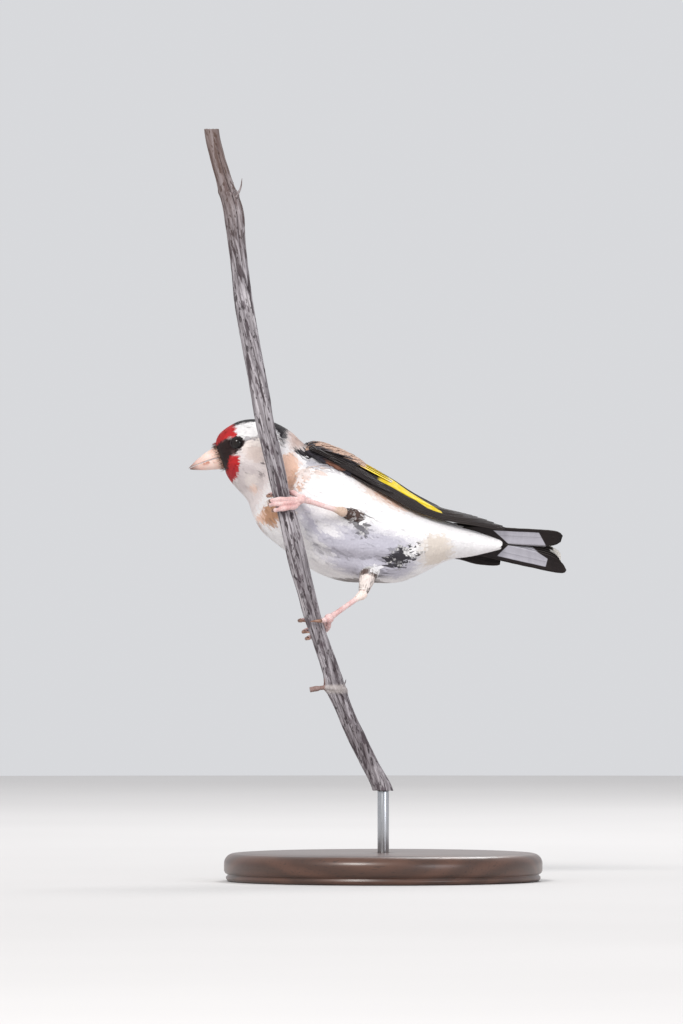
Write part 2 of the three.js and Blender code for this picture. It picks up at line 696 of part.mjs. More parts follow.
function tailFeathers(grow = 0) {
  const feathers = [];
  for (let pair = 0; pair < tailPairs; pair += 1) {
    const outer = pair / (tailPairs - 1);
    for (const side of [-1, 1]) {
      const longest = side > 0 ? tailOuterLength.left : tailOuterLength.right;
      const length = longest - tailFork * (1 - outer);
      const rootAcross = THREE.MathUtils.lerp(0.5, 1.0, outer);
      const tipAcross = THREE.MathUtils.lerp(2.2, 4.8, outer);
      const depth = THREE.MathUtils.lerp(1.35, -1.25, outer);
      const placeAt = (s, across, rise) => {
        const middle = THREE.MathUtils.lerp(rootAcross, tipAcross, s);
        return tailPlace(length * s, side * (middle + across), depth + rise);
      };
      const size = { halfWidth: tailHalfWidth + grow, thickness: tailThickness + 2 * grow };
      feathers.push(bladeSolid(placeAt, { ...size, steps: longBlade, tipStart: 0.84, tilt: -0.1 }));
    }
  }
  return feathers;
}

function tailSolid() {
  const covers = bodyLength(besideParting(torsoEnd, 1), coversEnd, 6);
  return fuse([covers, ...tailFeathers()]);
}

// Stand

function baseSolid() {
  const foot = [[0, 0], [baseRadius - 1, 0], [baseRadius, 1]];
  const profile = foot.map(([x, z]) => new THREE.Vector2(x, z));
  for (let i = 0; i <= 3; i += 1) {
    const turn = (i / 3) * (Math.PI / 2);
    const x = baseRadius - baseEdgeRound * (1 - Math.cos(turn));
    profile.push(new THREE.Vector2(x, baseHeight - baseEdgeRound * (1 - Math.sin(turn))));
  }
  profile.push(new THREE.Vector2(0, baseHeight));
  const turned = new THREE.LatheGeometry(profile, 48);
  turned.rotateX(Math.PI / 2);
  return solidOf(turned);
}

function rodSolid() {
  const low = baseHeight + gap;
  const high = stemStations[0].z - gap;
  const rod = new THREE.CylinderGeometry(rodRadius, rodRadius, high - low, 24);
  rod.rotateX(Math.PI / 2);
  rod.translate(stemStations[0].x, 0, (low + high) / 2);
  return solidOf(rod);
}

// Scene graph

// The body grown by the gap, with fewer sides and so a little larger, for cutting what lies on it
const coarseSides = 16;
const coarseClear = 0.4;
const bodyClear = bodyLength(neckEnd - 1.5, coversEnd, 14, gap + coarseClear, coarseSides);
const tailClear = fuse(tailFeathers(gap));

const bird = new THREE.Group();
bird.add(nodeMesh("head", headSolid(), mats.face));
const neckSolid = bodyLength(besideParting(headEnd, 1), besideParting(neckEnd, -1), 6);
const torsoSolid = bodyLength(besideParting(neckEnd, 1), besideParting(torsoEnd, -1), 18);
bird.add(nodeMesh("neck", neckSolid, mats.plumage));
bird.add(nodeMesh("torso", torsoSolid, mats.plumage));
bird.add(nodeMesh("tail", tailSolid(), mats.flight));
bird.add(nodeMesh("bill_upper", billUpper(), mats.bill));
bird.add(nodeMesh("bill_lower", billHalf(billUnder, -gap / 2, 0.985), mats.bill));
for (const [name, side] of [["left", -1], ["right", 1]]) {
  bird.add(nodeMesh("eye_" + name, ball(eyeCentre(side), eyeRadius), mats.eye));
}
for (const [name, side] of [["left", 1], ["right", -1]]) {
  bird.add(nodeMesh("wing_" + name, wingSolid(side, [bodyClear, tailClear]), mats.flight));
}
for (const leg of legs) {
  bird.add(nodeMesh("thigh_" + leg.side, thighSolid(leg, bodyClear), mats.plumage));
  bird.add(nodeMesh("tarsus_" + leg.side, tarsusSolid(leg), mats.leg));
  bird.add(nodeMesh("foot_" + leg.side, footSolid(leg), mats.leg));
  for (const toe of leg.toes) {
    bird.add(nodeMesh("claw_" + toe.name + "_" + leg.side, clawSolid(leg, toe), mats.claw));
  }
}

const support = new THREE.Group();
support.add(nodeMesh("perch_stem", stemSolid(), mats.stem));
support.add(nodeMesh("stand_rod", rodSolid(), mats.steel));
support.add(nodeMesh("stand_base", baseSolid(), mats.wood));

const model = new THREE.Group();
model.add(bird, support);

export default model;
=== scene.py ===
# %% [markdown]
# # A goldfinch clinging to a dry stem
# A life-size model of a goldfinch, as a museum shows one: the bird hangs sideways on a cut length of
# weathered stem, and a turned wooden base with a steel rod holds the stem up. The solids of the model
# come first, as a frame that nothing here may change. Every step below dresses one part of it: the
# skin, the coat of feathers, the face, the wings, the tail, the legs, the stem and the stand.
# The bird faces -X and is seen from -Y, and Z is up. Sizes are in millimetres until a mesh is made.

# %% Load the frame
import json
import math
import bpy
import bmesh
import numpy as np
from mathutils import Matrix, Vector
from mathutils import noise
from mathutils.kdtree import KDTree

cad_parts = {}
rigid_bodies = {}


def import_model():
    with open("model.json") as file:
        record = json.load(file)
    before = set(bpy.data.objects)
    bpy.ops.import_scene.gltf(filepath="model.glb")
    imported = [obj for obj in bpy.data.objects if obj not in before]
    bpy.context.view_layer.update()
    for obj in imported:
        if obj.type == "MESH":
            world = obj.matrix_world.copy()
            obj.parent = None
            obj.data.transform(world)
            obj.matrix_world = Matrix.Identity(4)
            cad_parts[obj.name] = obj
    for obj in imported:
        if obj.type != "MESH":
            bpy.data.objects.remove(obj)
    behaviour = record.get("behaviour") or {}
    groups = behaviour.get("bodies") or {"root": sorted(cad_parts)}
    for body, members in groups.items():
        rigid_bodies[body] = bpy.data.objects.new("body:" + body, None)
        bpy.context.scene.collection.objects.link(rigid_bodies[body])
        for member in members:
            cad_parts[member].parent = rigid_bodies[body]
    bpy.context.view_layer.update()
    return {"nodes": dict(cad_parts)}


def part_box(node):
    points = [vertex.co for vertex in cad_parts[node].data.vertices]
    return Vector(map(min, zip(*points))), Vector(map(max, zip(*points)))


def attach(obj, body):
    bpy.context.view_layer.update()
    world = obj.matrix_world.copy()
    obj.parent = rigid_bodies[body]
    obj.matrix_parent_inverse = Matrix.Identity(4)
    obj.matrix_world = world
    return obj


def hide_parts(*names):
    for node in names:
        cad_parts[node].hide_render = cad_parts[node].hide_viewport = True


MM = 0.001
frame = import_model()
scene = bpy.context.scene
print("solids in the frame:", len(frame["nodes"]))

# %% [markdown]
# ## Small helpers
# Some chores come back for every piece: turning points and faces into a mesh, reading a smooth value out of
# a short list of stations, writing down on each point what the finish will need, and hiding the frame's
# solids that a piece stands for. Each is one function.

# %% Helpers for meshes
def new_piece(name, points_mm, faces):
    mesh = bpy.data.meshes.new(name)
    mesh.from_pydata([tuple(p) for p in np.asarray(points_mm) * MM], [], [tuple(f) for f in faces])
    mesh.validate()
    mesh.shade_smooth()
    piece = in_scene(bpy.data.objects.new(name, mesh))
    face_outwards(piece)
    return piece


def in_scene(thing):
    scene.collection.objects.link(thing)
    return thing


def face_outwards(piece):
    work = bmesh.new()
    work.from_mesh(piece.data)
    bmesh.ops.recalc_face_normals(work, faces=work.faces)
    work.to_mesh(piece.data)
    work.free()


def applied(piece):
    """The piece with its modifiers worked into a plain mesh."""
    depsgraph = bpy.context.evaluated_depsgraph_get()
    shaped = piece.evaluated_get(depsgraph)
    mesh = bpy.data.meshes.new_from_object(shaped, preserve_all_data_layers=True, depsgraph=depsgraph)
    piece.modifiers.clear()
    piece.data = mesh
    return piece


def read_vectors(mesh, what="co"):
    """Where a mesh's points are, or with what="normal", which way its surface faces there."""
    flat = np.zeros(len(mesh.vertices) * 3)
    mesh.vertices.foreach_get(what, flat)
    return flat.reshape(-1, 3)


def move_points(mesh, points_mm):
    mesh.vertices.foreach_set("co", (points_mm * MM).ravel())
    mesh.update()


def store(mesh, name, values, kind="FLOAT_VECTOR", domain="POINT"):
    """Writes one attribute of a mesh, which the nodes can read by its name."""
    layer = mesh.attributes.get(name) or mesh.attributes.new(name, kind, domain)
    field = "vector" if kind in ("FLOAT_VECTOR", "FLOAT2") else "value"
    layer.data.foreach_set(field, np.asarray(values, bool if kind == "BOOLEAN" else np.float32).ravel())


def store_unwrap(mesh, spots):
    """Writes the unwrap that finishes are baked on, from a spot for each point of the mesh."""
    store(mesh, "OFBake", np.asarray(spots)[corner_points(mesh), :2], "FLOAT2", "CORNER")


def corner_points(mesh):
    """The point that each corner of each face belongs to."""
    corner = np.zeros(len(mesh.loops), int)
    mesh.loops.foreach_get("vertex_index", corner)
    return corner


def finish_piece(piece, material, slot, *nodes):
    piece.data.materials.clear()
    piece.data.materials.append(material)
    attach(piece, "root")
    if nodes:
        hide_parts(*nodes)
    print(piece.name, "triangles:", sum(len(face.vertices) - 2 for face in piece.data.polygons))


# %% Helpers for stations and closed shells
def at_stations(table, place):
    """Smooth value of every column of a table of stations, at places counted in stations."""
    place = np.atleast_1d(np.asarray(place, float))
    last = len(table) - 1
    start = np.clip(np.floor(place).astype(int), 0, last - 1)
    t = (place - start)[:, None]
    return curve_between(*(table[np.clip(start + shift, 0, last)] for shift in (-1, 0, 1, 2)), t)


def curve_between(a, b, c, d, t):
    """The share t of the way from b to c, on the smooth curve through four values."""
    return b + 0.5 * t * (c - a + t * (2 * a - 5 * b + 4 * c - d + t * (3 * (b - c) + d - a)))


def gap_to_line(x, y, start, end):
    """Way across and up from the nearest point of a straight line to each point."""
    dx, dy = end[0] - start[0], end[1] - start[1]
    t = np.clip(((x - start[0]) * dx + (y - start[1]) * dy) / (dx * dx + dy * dy + 1e-12), 0, 1)
    return x - start[0] - t * dx, y - start[1] - t * dy


def unit(vectors):
    return vectors / np.linalg.norm(vectors, axis=-1, keepdims=True)


def smooth_step(value, low, high):
    t = np.clip((np.asarray(value, float) - low) / (high - low), 0, 1)
    return t * t * (3 - 2 * t)


def round_turns(count):
    """Even turns round a ring, in radians, from 0 to just short of a full turn."""
    return [k / count * 2 * math.pi for k in range(count)]


def grid_faces(rows, columns):
    """Quads between rings of points, with the last column joined to the first."""
    faces = []
    for r in range(rows - 1):
        for c in range(columns):
            a = r * columns + c
            b = r * columns + (c + 1) % columns
            faces.append((a, b, b + columns, a + columns))
    return faces


def tube_faces(rows, columns):
    """A closed tube: its sides, and one face over each end."""
    ends = [tuple(reversed(range(columns))), tuple(range((rows - 1) * columns, rows * columns))]
    return grid_faces(rows, columns) + ends


# %% [markdown]
# ## Helpers for materials
# A material is a small net of nodes. A net here is written like a sum: every step makes a node, joins what
# it is given and hands on what the node puts out. A finish is a net that ends in a Principled surface. It
# is painted as a wall is: further colours are laid over its shade where a mask says so.

# %% Colours and nets
def colour(hex_code):
    """A colour written as on a paint card, turned into the linear values that light works with."""
    parts = [int(hex_code[i:i + 2], 16) / 255 for i in (0, 2, 4)]
    linear = [p / 12.92 if p <= 0.04045 else ((p + 0.055) / 1.055) ** 2.4 for p in parts]
    return (*linear, 1)


def port(sockets, name=None):
    """The first socket in use, or the first with a name."""
    return [s for s in sockets if s.enabled and name in (None, s.name)][0]


class Net:
    def __init__(self, tree):
        self.tree = tree

    def join(self, socket, value):
        """Joins a socket to a node or to another socket, or gives it a plain value."""
        if isinstance(value, bpy.types.Node):
            value = port(value.outputs)
        if isinstance(value, bpy.types.NodeSocket):
            self.tree.links.new(value, socket)
        elif isinstance(value, str) and socket.type == "RGBA":
            socket.default_value = colour(value)
        else:
            socket.default_value = value

    def node(self, kind, settings=None, **inputs):
        """Makes a node, sets its own settings, and fills or joins its inputs by name."""
        node = self.tree.nodes.new(kind)
        for key, value in (settings or {}).items():
            setattr(node, key, value)
        for key, value in inputs.items():
            self.join(port(node.inputs, key.replace("_", " ")), value)
        return node

    def math(self, operation, *values):
        node = self.node("ShaderNodeMath", {"operation": operation})
        for socket, value in zip(node.inputs, values):
            self.join(socket, value)
        return node.outputs[0]

    def vector(self, operation, first, second=None, scale=None):
        node = self.node("ShaderNodeVectorMath", {"operation": operation})
        for number, value in ((0, first), (1, second), (3, scale)):
            if value is not None:
                self.join(node.inputs[number], value)
        return port(node.outputs)

    def plus(self, first, second):
        return self.math("ADD", first, second)

    def minus(self, first, second):
        return self.math("SUBTRACT", first, second)

    def times(self, first, *others):
        """Product, which of masks means where all of them are."""
        for other in others:
            first = self.math("MULTIPLY", first, other)
        return first

    def either(self, first, second):
        return self.math("MAXIMUM", first, second)

    def size(self, value):
        return self.math("ABSOLUTE", value)

    def step(self, value, low, high, start=0, end=1, kind="SMOOTHSTEP"):
        """Rises smoothly from start to end as value goes from low to high."""
        return self.node("ShaderNodeMapRange", {"interpolation_type": kind}, Value=value, From_Min=low,
                         From_Max=high, To_Min=start, To_Max=end).outputs["Result"]

    def parts(self, vector):
        """The three numbers of a vector, or of the attribute with that name."""
        vector = self.read(vector) if isinstance(vector, str) else vector
        return self.node("ShaderNodeSeparateXYZ", Vector=vector).outputs

    def read(self, name, output="Vector"):
        return self.node("ShaderNodeAttribute", {"attribute_name": name}).outputs[output]

    def spot(self):
        """Where on the object a spot is, in metres."""
        return self.node("ShaderNodeTexCoord").outputs["Object"]

    def mapped(self, vector, **moves):
        return self.node("ShaderNodeMapping", Vector=vector, **moves).outputs["Vector"]

    def noise(self, vector, scale, detail=3, roughness=0.55, stretch=None):
        """Noise read at a vector, drawn out along an axis where stretch makes that axis smaller."""
        vector = self.mapped(vector, Scale=stretch) if stretch else vector
        return port(self.node("ShaderNodeTexNoise", Vector=vector, Scale=scale, Detail=detail,
                              Roughness=roughness).outputs)

    def ramp(self, factor, *stops):
        """Colour ramp through pairs of a position and a colour, or a number for a grey."""
        node = self.node("ShaderNodeValToRGB", Fac=factor)
        elements = node.color_ramp.elements
        while len(elements) < len(stops):
            elements.new(0.5)
        for element, (position, shade) in zip(elements, stops):
            element.position = position
            element.color = colour(shade) if isinstance(shade, str) else (shade, shade, shade, 1)
        return node.outputs["Color"]

    def mix(self, factor, first, second, blend="MIX"):
        node = self.node("ShaderNodeMix", {"data_type": "RGBA", "blend_type": blend})
        for number, value in ((0, factor), (6, first), (7, second)):
            self.join(node.inputs[number], value)
        return node.outputs[2]


class Finish(Net):
    def __init__(self, name, roughness, **values):
        self.material = bpy.data.materials.new(name)
        self.material.use_nodes = True
        super().__init__(self.material.node_tree)
        self.surface = self.tree.nodes["Principled BSDF"]
        for key, value in {"Roughness": roughness, **values}.items():
            self.surface.inputs[key.replace("_", " ")].default_value = value

    def lay(self, mask, shade, strength=1):
        """Lays a colour over the shade, where a mask says and as strongly as told."""
        mask = mask if strength == 1 else self.times(mask, strength)
        self.shade = self.mix(mask, self.shade, shade)

    def bump(self, height, strength, distance_mm, **inputs):
        node = self.node("ShaderNodeBump", Height=height, Strength=strength, Distance=distance_mm * MM,
                         **inputs)
        self.join(self.surface.inputs["Normal"], node.outputs["Normal"])

    def done(self):
        self.join(self.surface.inputs["Base Color"], self.shade)
        return self.material


def clouded(name, roughness, scale, detail, low, high, bump=None, **values):
    """A finish of two colours, each with its place in a noise, and a bump that follows the noise."""
    net = Finish(name, roughness, **values)
    cloud = net.noise(net.spot(), scale, detail)
    net.shade = net.ramp(cloud, low, high)
    if bump:
        net.bump(cloud, *bump)
    return net.done()

# %% [markdown]
# ## The body's shape
# The whole bird is one smooth form, drawn as a row of rings from bill to tail coverts. Each ring has its
# top and its lowest point as the viewer sees them, its distance behind the stem, and its half thickness
# front to back. The bird hangs on its side: its torso is rolled about its own length, so that its belly
# faces the viewer, while the head is level. These are the stations of the solid model again, because the
# coat has to lie on the same form.

# %% Stations of the body
# Columns: topX, topZ, lowX, lowZ, y, half, egg (how far the widest level is moved up)
BODY = np.array([
    [-52.9, 136.6, -49.7, 129.3, 13.8, 3.5, 0],
    [-51.9, 140, -48.9, 127.3, 13.8, 5.6, 0.05],
    [-49.3, 142.4, -47.6, 125.2, 13.8, 7.3, 0.1],
    [-45.4, 144.5, -45.5, 122.8, 13.8, 8.9, 0.16],
    [-41.1, 145.2, -43.6, 120.8, 14, 9.6, 0.18],
    [-37, 144.9, -42.2, 118.8, 14.8, 10.1, 0.14],
    [-33.2, 143.7, -41.4, 116.4, 16.2, 11, 0.08],
    [-29, 141.2, -40.4, 113.6, 18.2, 12.4, 0.03],
    [-24.6, 137.2, -37.4, 109, 20.4, 14.6, 0],
    [-18.9, 134.9, -30.4, 103.4, 22.1, 16.4, 0],
    [-12.5, 131.8, -22.4, 97.6, 23, 17.5, 0],
    [-5.6, 127.6, -13.6, 94.2, 23.4, 17.4, 0],
    [1.6, 122.8, -4.4, 93.6, 23.5, 16.2, 0],
    [8.6, 118.2, 5.2, 93.8, 23.6, 13.8, 0],
    [16, 114.6, 13.4, 97.2, 23.7, 10.4, 0],
    [22.6, 112.4, 20.6, 100.7, 23.6, 7, 0],
    [29.6, 110.2, 28.4, 102, 23.2, 4.2, 0],
    [39.4, 106, 39.2, 104.6, 22.4, 0.9, 0],
])
BODY_ROLL = math.radians(63)
AWAY = np.array([0, 1, 0])


def body_frame(place):
    """Centre, upright in the viewer's plane, half height, half thickness and egg, at each place."""
    at = at_stations(BODY, place)
    centre = np.stack([(at[:, 0] + at[:, 2]) / 2, at[:, 4], (at[:, 1] + at[:, 3]) / 2], axis=1)
    span = np.stack([at[:, 0] - at[:, 2], np.zeros(len(at)), at[:, 1] - at[:, 3]], axis=1)
    high = np.linalg.norm(span, axis=1) / 2
    return centre, unit(span), high, at[:, 5], at[:, 6]


def body_point(place, turn, grow=0):
    """Points of the body's surface. turn is 0 at the top of a ring and a quarter turn at its far side."""
    centre, upright, high, half, egg = body_frame(place)
    up = np.cos(turn)
    side = np.sin(turn) * (1 + egg * np.cos(turn))
    return centre + upright * (up * (high + grow))[:, None] + AWAY * (side * (half + grow))[:, None]


def belly_turn(place):
    """Turn of the belly's midline, which swings round as the level neck becomes the rolled torso."""
    swing = math.radians(30) * np.exp(-((np.asarray(place) - 7.8) / 1.5) ** 2)
    return math.pi + BODY_ROLL * smooth_step(place, 3.5, 9) + swing


def rolled_axes(upright):
    """The bird's own left and back in the rolled torso."""
    left = upright * math.sin(BODY_ROLL) - AWAY * math.cos(BODY_ROLL)
    back = upright * math.cos(BODY_ROLL) + AWAY * math.sin(BODY_ROLL)
    return left, back


print("body length in mm:", round(float(BODY[-1, 0] - BODY[0, 0]), 1))

# %% [markdown]
# ## The skin
# A stuffed bird has one skin, so one mesh replaces the solids of the head, neck, torso and thighs, and no
# seam shows. It lies inside them by the depth of the coat, which is thin on the face and thickest on the
# breast. Body and thighs are drawn as closed tubes and melted together by a voxel remesh, which also gives
# even faces for the feathers to grow on.

# %% Depth of the coat and length of its feathers, by place along the body
# Columns: coat depth, feather length
COAT = np.array([
    [0.26, 1.5], [0.28, 1.6], [0.30, 1.8], [0.32, 2.1], [0.34, 2.5], [0.36, 3],
    [0.40, 3.6], [0.44, 4.2], [0.46, 4.8], [0.48, 5.2], [0.50, 5.4], [0.50, 5.6],
    [0.50, 5.8], [0.48, 6], [0.46, 6.4], [0.44, 6.6], [0.42, 6.8], [0.36, 6.4],
])
SKIN_END = 16.75

# Thighs: hip and heel of each leg, and the feathered shin's radius at each end
HIPS = {"left": np.array([-3, 13.5, 112.5]), "right": np.array([-3.4, 15.5, 100.5])}
HEELS = {"left": np.array([-12.6, 3.2, 115.9]), "right": np.array([-6.4, 6.8, 90])}
HEEL_RADIUS = 1.55
THIGH_RADII = (3.9, 1.25)
THIGH_COAT = 0.4


def body_grid(places, sides):
    turns = np.linspace(0, 2 * math.pi, sides, endpoint=False)
    place_grid, turn_grid = np.meshgrid(places, turns, indexing="ij")
    return place_grid.ravel(), turn_grid.ravel()


def thigh_points(side, steps, sides):
    """Points round a thigh, their lie towards the heel, and their share of the way down."""
    hip = HIPS[side]
    along = unit(HEELS[side] - hip)
    heel = HEELS[side] - along * HEEL_RADIUS * 0.6
    across = unit(np.cross(along, [0.3, 0.2, 1]))
    other = np.cross(along, across)
    t, turn = body_grid(np.linspace(0, 1, steps), sides)
    radius = THIGH_RADII[0] + (THIGH_RADII[1] - THIGH_RADII[0]) * t ** 0.8
    ring = across * np.cos(turn)[:, None] + other * np.sin(turn)[:, None]
    points = hip + (heel - hip) * t[:, None] + ring * radius[:, None]
    return points, np.tile(along, (len(t), 1)), t, turn


def skin_parts():
    """The closed tubes that melt into the skin."""
    rows, sides = 100, 64
    place, turn = body_grid(np.linspace(0.03, SKIN_END, rows), sides)
    depth, _ = at_stations(COAT, place).T
    yield body_point(place, turn, -depth), tube_faces(rows, sides)
    for side in HIPS:
        yield thigh_points(side, 16, 24)[0], tube_faces(16, 24)


# %% Melt the tubes into one skin
def joined_parts(parts):
    points, faces = [], []
    for part_points, part_faces in parts:
        start = len(points)
        points.extend(part_points)
        faces.extend([tuple(i + start for i in face) for face in part_faces])
    return points, faces


def melted(piece, voxel_mm, smoothing):
    """One closed skin over all of a piece's overlapping shells."""
    remesh = piece.modifiers.new("melt", "REMESH")
    remesh.mode = "VOXEL"
    remesh.voxel_size = voxel_mm * MM
    remesh.use_smooth_shade = True
    relax = piece.modifiers.new("relax", "SMOOTH")
    relax.factor = 0.5
    relax.iterations = smoothing
    return applied(piece)


skin = new_piece("skin", *joined_parts(skin_parts()))
melted(skin, 0.55, 3)
print("skin points:", len(skin.data.vertices))

# %% [markdown]
# ## Folds of the fluffed plumage
# Feathers of a living bird lie in masses. The left flank bulges over the side of the breast, and a soft
# crease runs along the belly where two masses meet. Each fold is a line in the side view with a width to
# either side and a depth, pressed into the skin before anything grows on it.

# %% Press the folds into the skin
# Each fold: its line (x, z), how far it reaches to either side of the line, its depth
FOLDS = [
    ([(-29.6, 121), (-28.7, 124.6), (-27.2, 128), (-24.2, 130.6), (-18.5, 131.2)], 5, 0.5, 1.5),
    ([(-26.5, 106.4), (-22, 104.6), (-15, 102.6), (-6, 101.3), (1.5, 100.8)], 1.8, 1.8, 0.9),
    ([(-20.5, 112.6), (-13, 110.3), (-4, 108.6), (3, 106.6)], 2.2, 2.2, 0.35),
    ([(-32.5, 122), (-33.5, 117.5), (-33, 113)], 1.6, 1.6, 0.35),
]


def beside_line(points, line):
    """Distance of points from a line in the side view, and on which side of it they are."""
    best = np.full(len(points), 1e9)
    side = np.ones(len(points))
    for start, end in zip(line[:-1], line[1:]):
        gap_x, gap_z = gap_to_line(points[:, 0], points[:, 2], start, end)
        away = np.hypot(gap_x, gap_z)
        turned = gap_x * (end[1] - start[1]) - gap_z * (end[0] - start[0])
        side = np.where(away < best, np.sign(turned), side)
        best = np.minimum(best, away)
    return best, side


def press_folds(piece):
    points = read_vectors(piece.data) / MM
    normals = read_vectors(piece.data, "normal")
    facing = smooth_step(-normals[:, 1], 0.05, 0.4)
    for line, reach_out, reach_in, depth in FOLDS:
        away, side = beside_line(points, line)
        reach = np.where(side > 0, reach_in, reach_out)
        press = depth * np.exp(-(away / reach) ** 2) * facing
        points -= normals * press[:, None]
    move_points(piece.data, points)


# %% [markdown]
# ## What the skin knows about the coat
# Feathers lie from the bill towards the tail and from the hip towards the heel. Each point of the skin gets
# that direction, the feather's length and the coat's depth there, and its place: how far along the body it
# is, and how far round from the middle of the belly. Markings drawn in these places match on the left and
# the right side. All of it is looked up at the nearest point of the form that the skin was made from.

# %% Give the skin its directions and places
class CoatMap:
    """Nearest-point lookup from the drawn form to what the coat does there."""

    def __init__(self):
        place, turn = body_grid(np.arange(0, SKIN_END, 0.04), 150)
        depth, length = at_stations(COAT, place).T
        points = body_point(place, turn, -depth)
        lie = unit(body_point(place + 0.1, turn) - body_point(place - 0.1, turn))
        around = np.degrees((turn - belly_turn(place) + math.pi) % (2 * math.pi) - math.pi)
        rows = [np.column_stack([points, lie, place, around, depth, length])]
        for number, side in enumerate(HIPS):
            shin, down, t, shin_turn = thigh_points(side, 40, 40)
            down_place = 18 + number + 0.9 * t
            loose = np.column_stack([np.full(len(t), THIGH_COAT), 3.4 - 1.2 * t])
            rows.append(np.column_stack([shin, down, down_place, np.degrees(shin_turn) - 180, loose]))
        self.rows = np.vstack(rows)
        self.tree = KDTree(len(self.rows))
        for i, row in enumerate(self.rows):
            self.tree.insert(row[:3], i)
        self.tree.balance()

    def at(self, points_mm):
        nearest = [self.tree.find(p)[1] for p in points_mm]
        return self.rows[nearest]


def unwrapped(place, around):
    """Unwrap by place: along the body one way and round it the other, with each thigh beside it."""
    return np.where(place < 18, place / 18 * 0.86, 0.88 + (place - 18) * 0.05), (around + 180) / 360


def unwrap_skin(mesh, u, v):
    """Writes the unwrap. A face that crosses the seam is carried on past it, and doesn't run back."""
    corner = corner_points(mesh)
    corner_v = v[corner]
    face_of = np.repeat(np.arange(len(mesh.polygons)), [p.loop_total for p in mesh.polygons])
    highest = np.zeros(len(mesh.polygons))
    np.maximum.at(highest, face_of, corner_v)
    corner_v = np.where(highest[face_of] - corner_v > 0.5, corner_v + 1, corner_v)
    store(mesh, "OFBake", np.column_stack([u[corner], corner_v * 0.98]), "FLOAT2", "CORNER")


known = CoatMap().at(read_vectors(skin.data) / MM)
press_folds(skin)
skin_points = read_vectors(skin.data) / MM
skin_out = read_vectors(skin.data, "normal")
skin_lie = known[:, 3:6]
skin_place, skin_around, skin_depth, skin_length = known[:, 6:].T
skin_u, skin_v = unwrapped(skin_place, skin_around)
unwrap_skin(skin.data, skin_u, skin_v)
for name, vectors in (("out", skin_out), ("lie", skin_lie), ("root", skin_points),
                      ("root_uv", np.column_stack([skin_u, skin_v * 0.98, 0 * skin_u]))):
    store(skin.data, name, vectors)
store(skin.data, "depth", skin_depth, "FLOAT")
store(skin.data, "length", skin_length, "FLOAT")
print("places along the body:", round(skin_place.min(), 2), "to", round(skin_place.max(), 2))

# %% [markdown]
# ## One feather, three ways
# A contour feather has a firm shaft, a short vane that overlaps its neighbours, and loose barbs that blur
# its edge. Modelling every barb of a bird is out of reach, so each feather here is a narrow closed vane
# with a fan of closed barbs: tiny for the face, soft with long loose barbs for belly and flanks, and sleek
# for the back. Each is one unit long, with its root at the origin and its tip along Y. Its height is kept
# as a number, because the coat is laid on the skin later.

# %% Draw the feathers
class Strands:
    """Collects closed tapered strands, each with three sides, in one mesh."""

    def __init__(self):
        self.points, self.faces, self.blade = [], [], []

    def strand(self, path, widths, rise=0.5):
        """A strand along a path of (x, y, z), with its half width at each step. It ends in a point."""
        start = len(self.points)
        steps = len(path)
        for (x, y, z), wide in zip(path[:-1], widths):
            for dx, dz in ((-wide, 0), (wide, 0), (0, wide * rise * 6)):
                self.points.append((x + dx, y, z + dz))
                self.blade.append((x, y, 0))
        self.points.append(path[-1])
        self.blade.append((path[-1][0], path[-1][1], 0))
        self.faces.append((start, start + 1, start + 2))
        tip = start + 3 * (steps - 1)
        for a in range(start, tip, 3):
            for k in range(3):
                b = (k + 1) % 3
                last = a + 3 == tip
                self.faces.append((a + k, tip, a + b) if last else (a + k, a + 3 + k, a + 3 + b, a + b))


def rise_along(y):
    """Height over the skin, as a share of the coat's depth. A feather's outer half lies almost flat."""
    return -0.25 + 1.25 * (1 - (1 - min(y, 1)) ** 2.6)


def draw_feather(name, barbs, spread, barb_reach, vane_half, seed):
    rng = np.random.default_rng(seed)
    draw = Strands()
    for i in range(barbs):
        side = -1 if i % 2 else 1
        share = (i // 2 + 0.5) / (barbs / 2)
        start_y = 0.12 + 0.6 * share + rng.uniform(-0.04, 0.04)
        reach = barb_reach * (1 - 0.35 * share) * rng.uniform(0.85, 1.15)
        end_x = side * spread * (1 - 0.62 * share ** 1.5) * rng.uniform(0.75, 1.15)
        end_y = min(start_y + reach, 1.04)
        mid = (end_x * 0.62, start_y + (end_y - start_y) * 0.45)
        lift = rng.uniform(-0.03, 0.04)
        path = [(0, start_y, rise_along(start_y)),
                (mid[0], mid[1], rise_along(mid[1]) + lift * 0.4),
                (end_x, end_y, rise_along(end_y) + lift)]
        draw.strand(path, (0.013, 0.011))
    shaft = [(0, y, rise_along(y)) for y in (0, 0.35, 0.7, 0.92, 1)]
    draw.strand(shaft, (0.03, vane_half, vane_half * 0.95, vane_half * 0.6), rise=0.06)
    mesh = bpy.data.meshes.new(name)
    mesh.from_pydata(draw.points, [], draw.faces)
    store(mesh, "blade", draw.blade)
    store(mesh, "height", [p[2] for p in draw.points], "FLOAT")
    piece = bpy.data.objects.new(name, mesh)
    face_outwards(piece)
    return piece


def feather_set(name, count, **shape):
    """A collection of feathers of one kind, each drawn with its own seed. It stays out of the scene."""
    group = bpy.data.collections.new(name)
    for i in range(count):
        group.objects.link(draw_feather(f"{name}_{i}", seed=40 + i, **shape))
    return group


tiny = feather_set("tiny", 4, barbs=4, spread=0.22, barb_reach=0.5, vane_half=0.15)
soft = feather_set("soft", 5, barbs=5, spread=0.16, barb_reach=0.5, vane_half=0.12)
sleek = feather_set("sleek", 4, barbs=8, spread=0.20, barb_reach=0.32, vane_half=0.12)

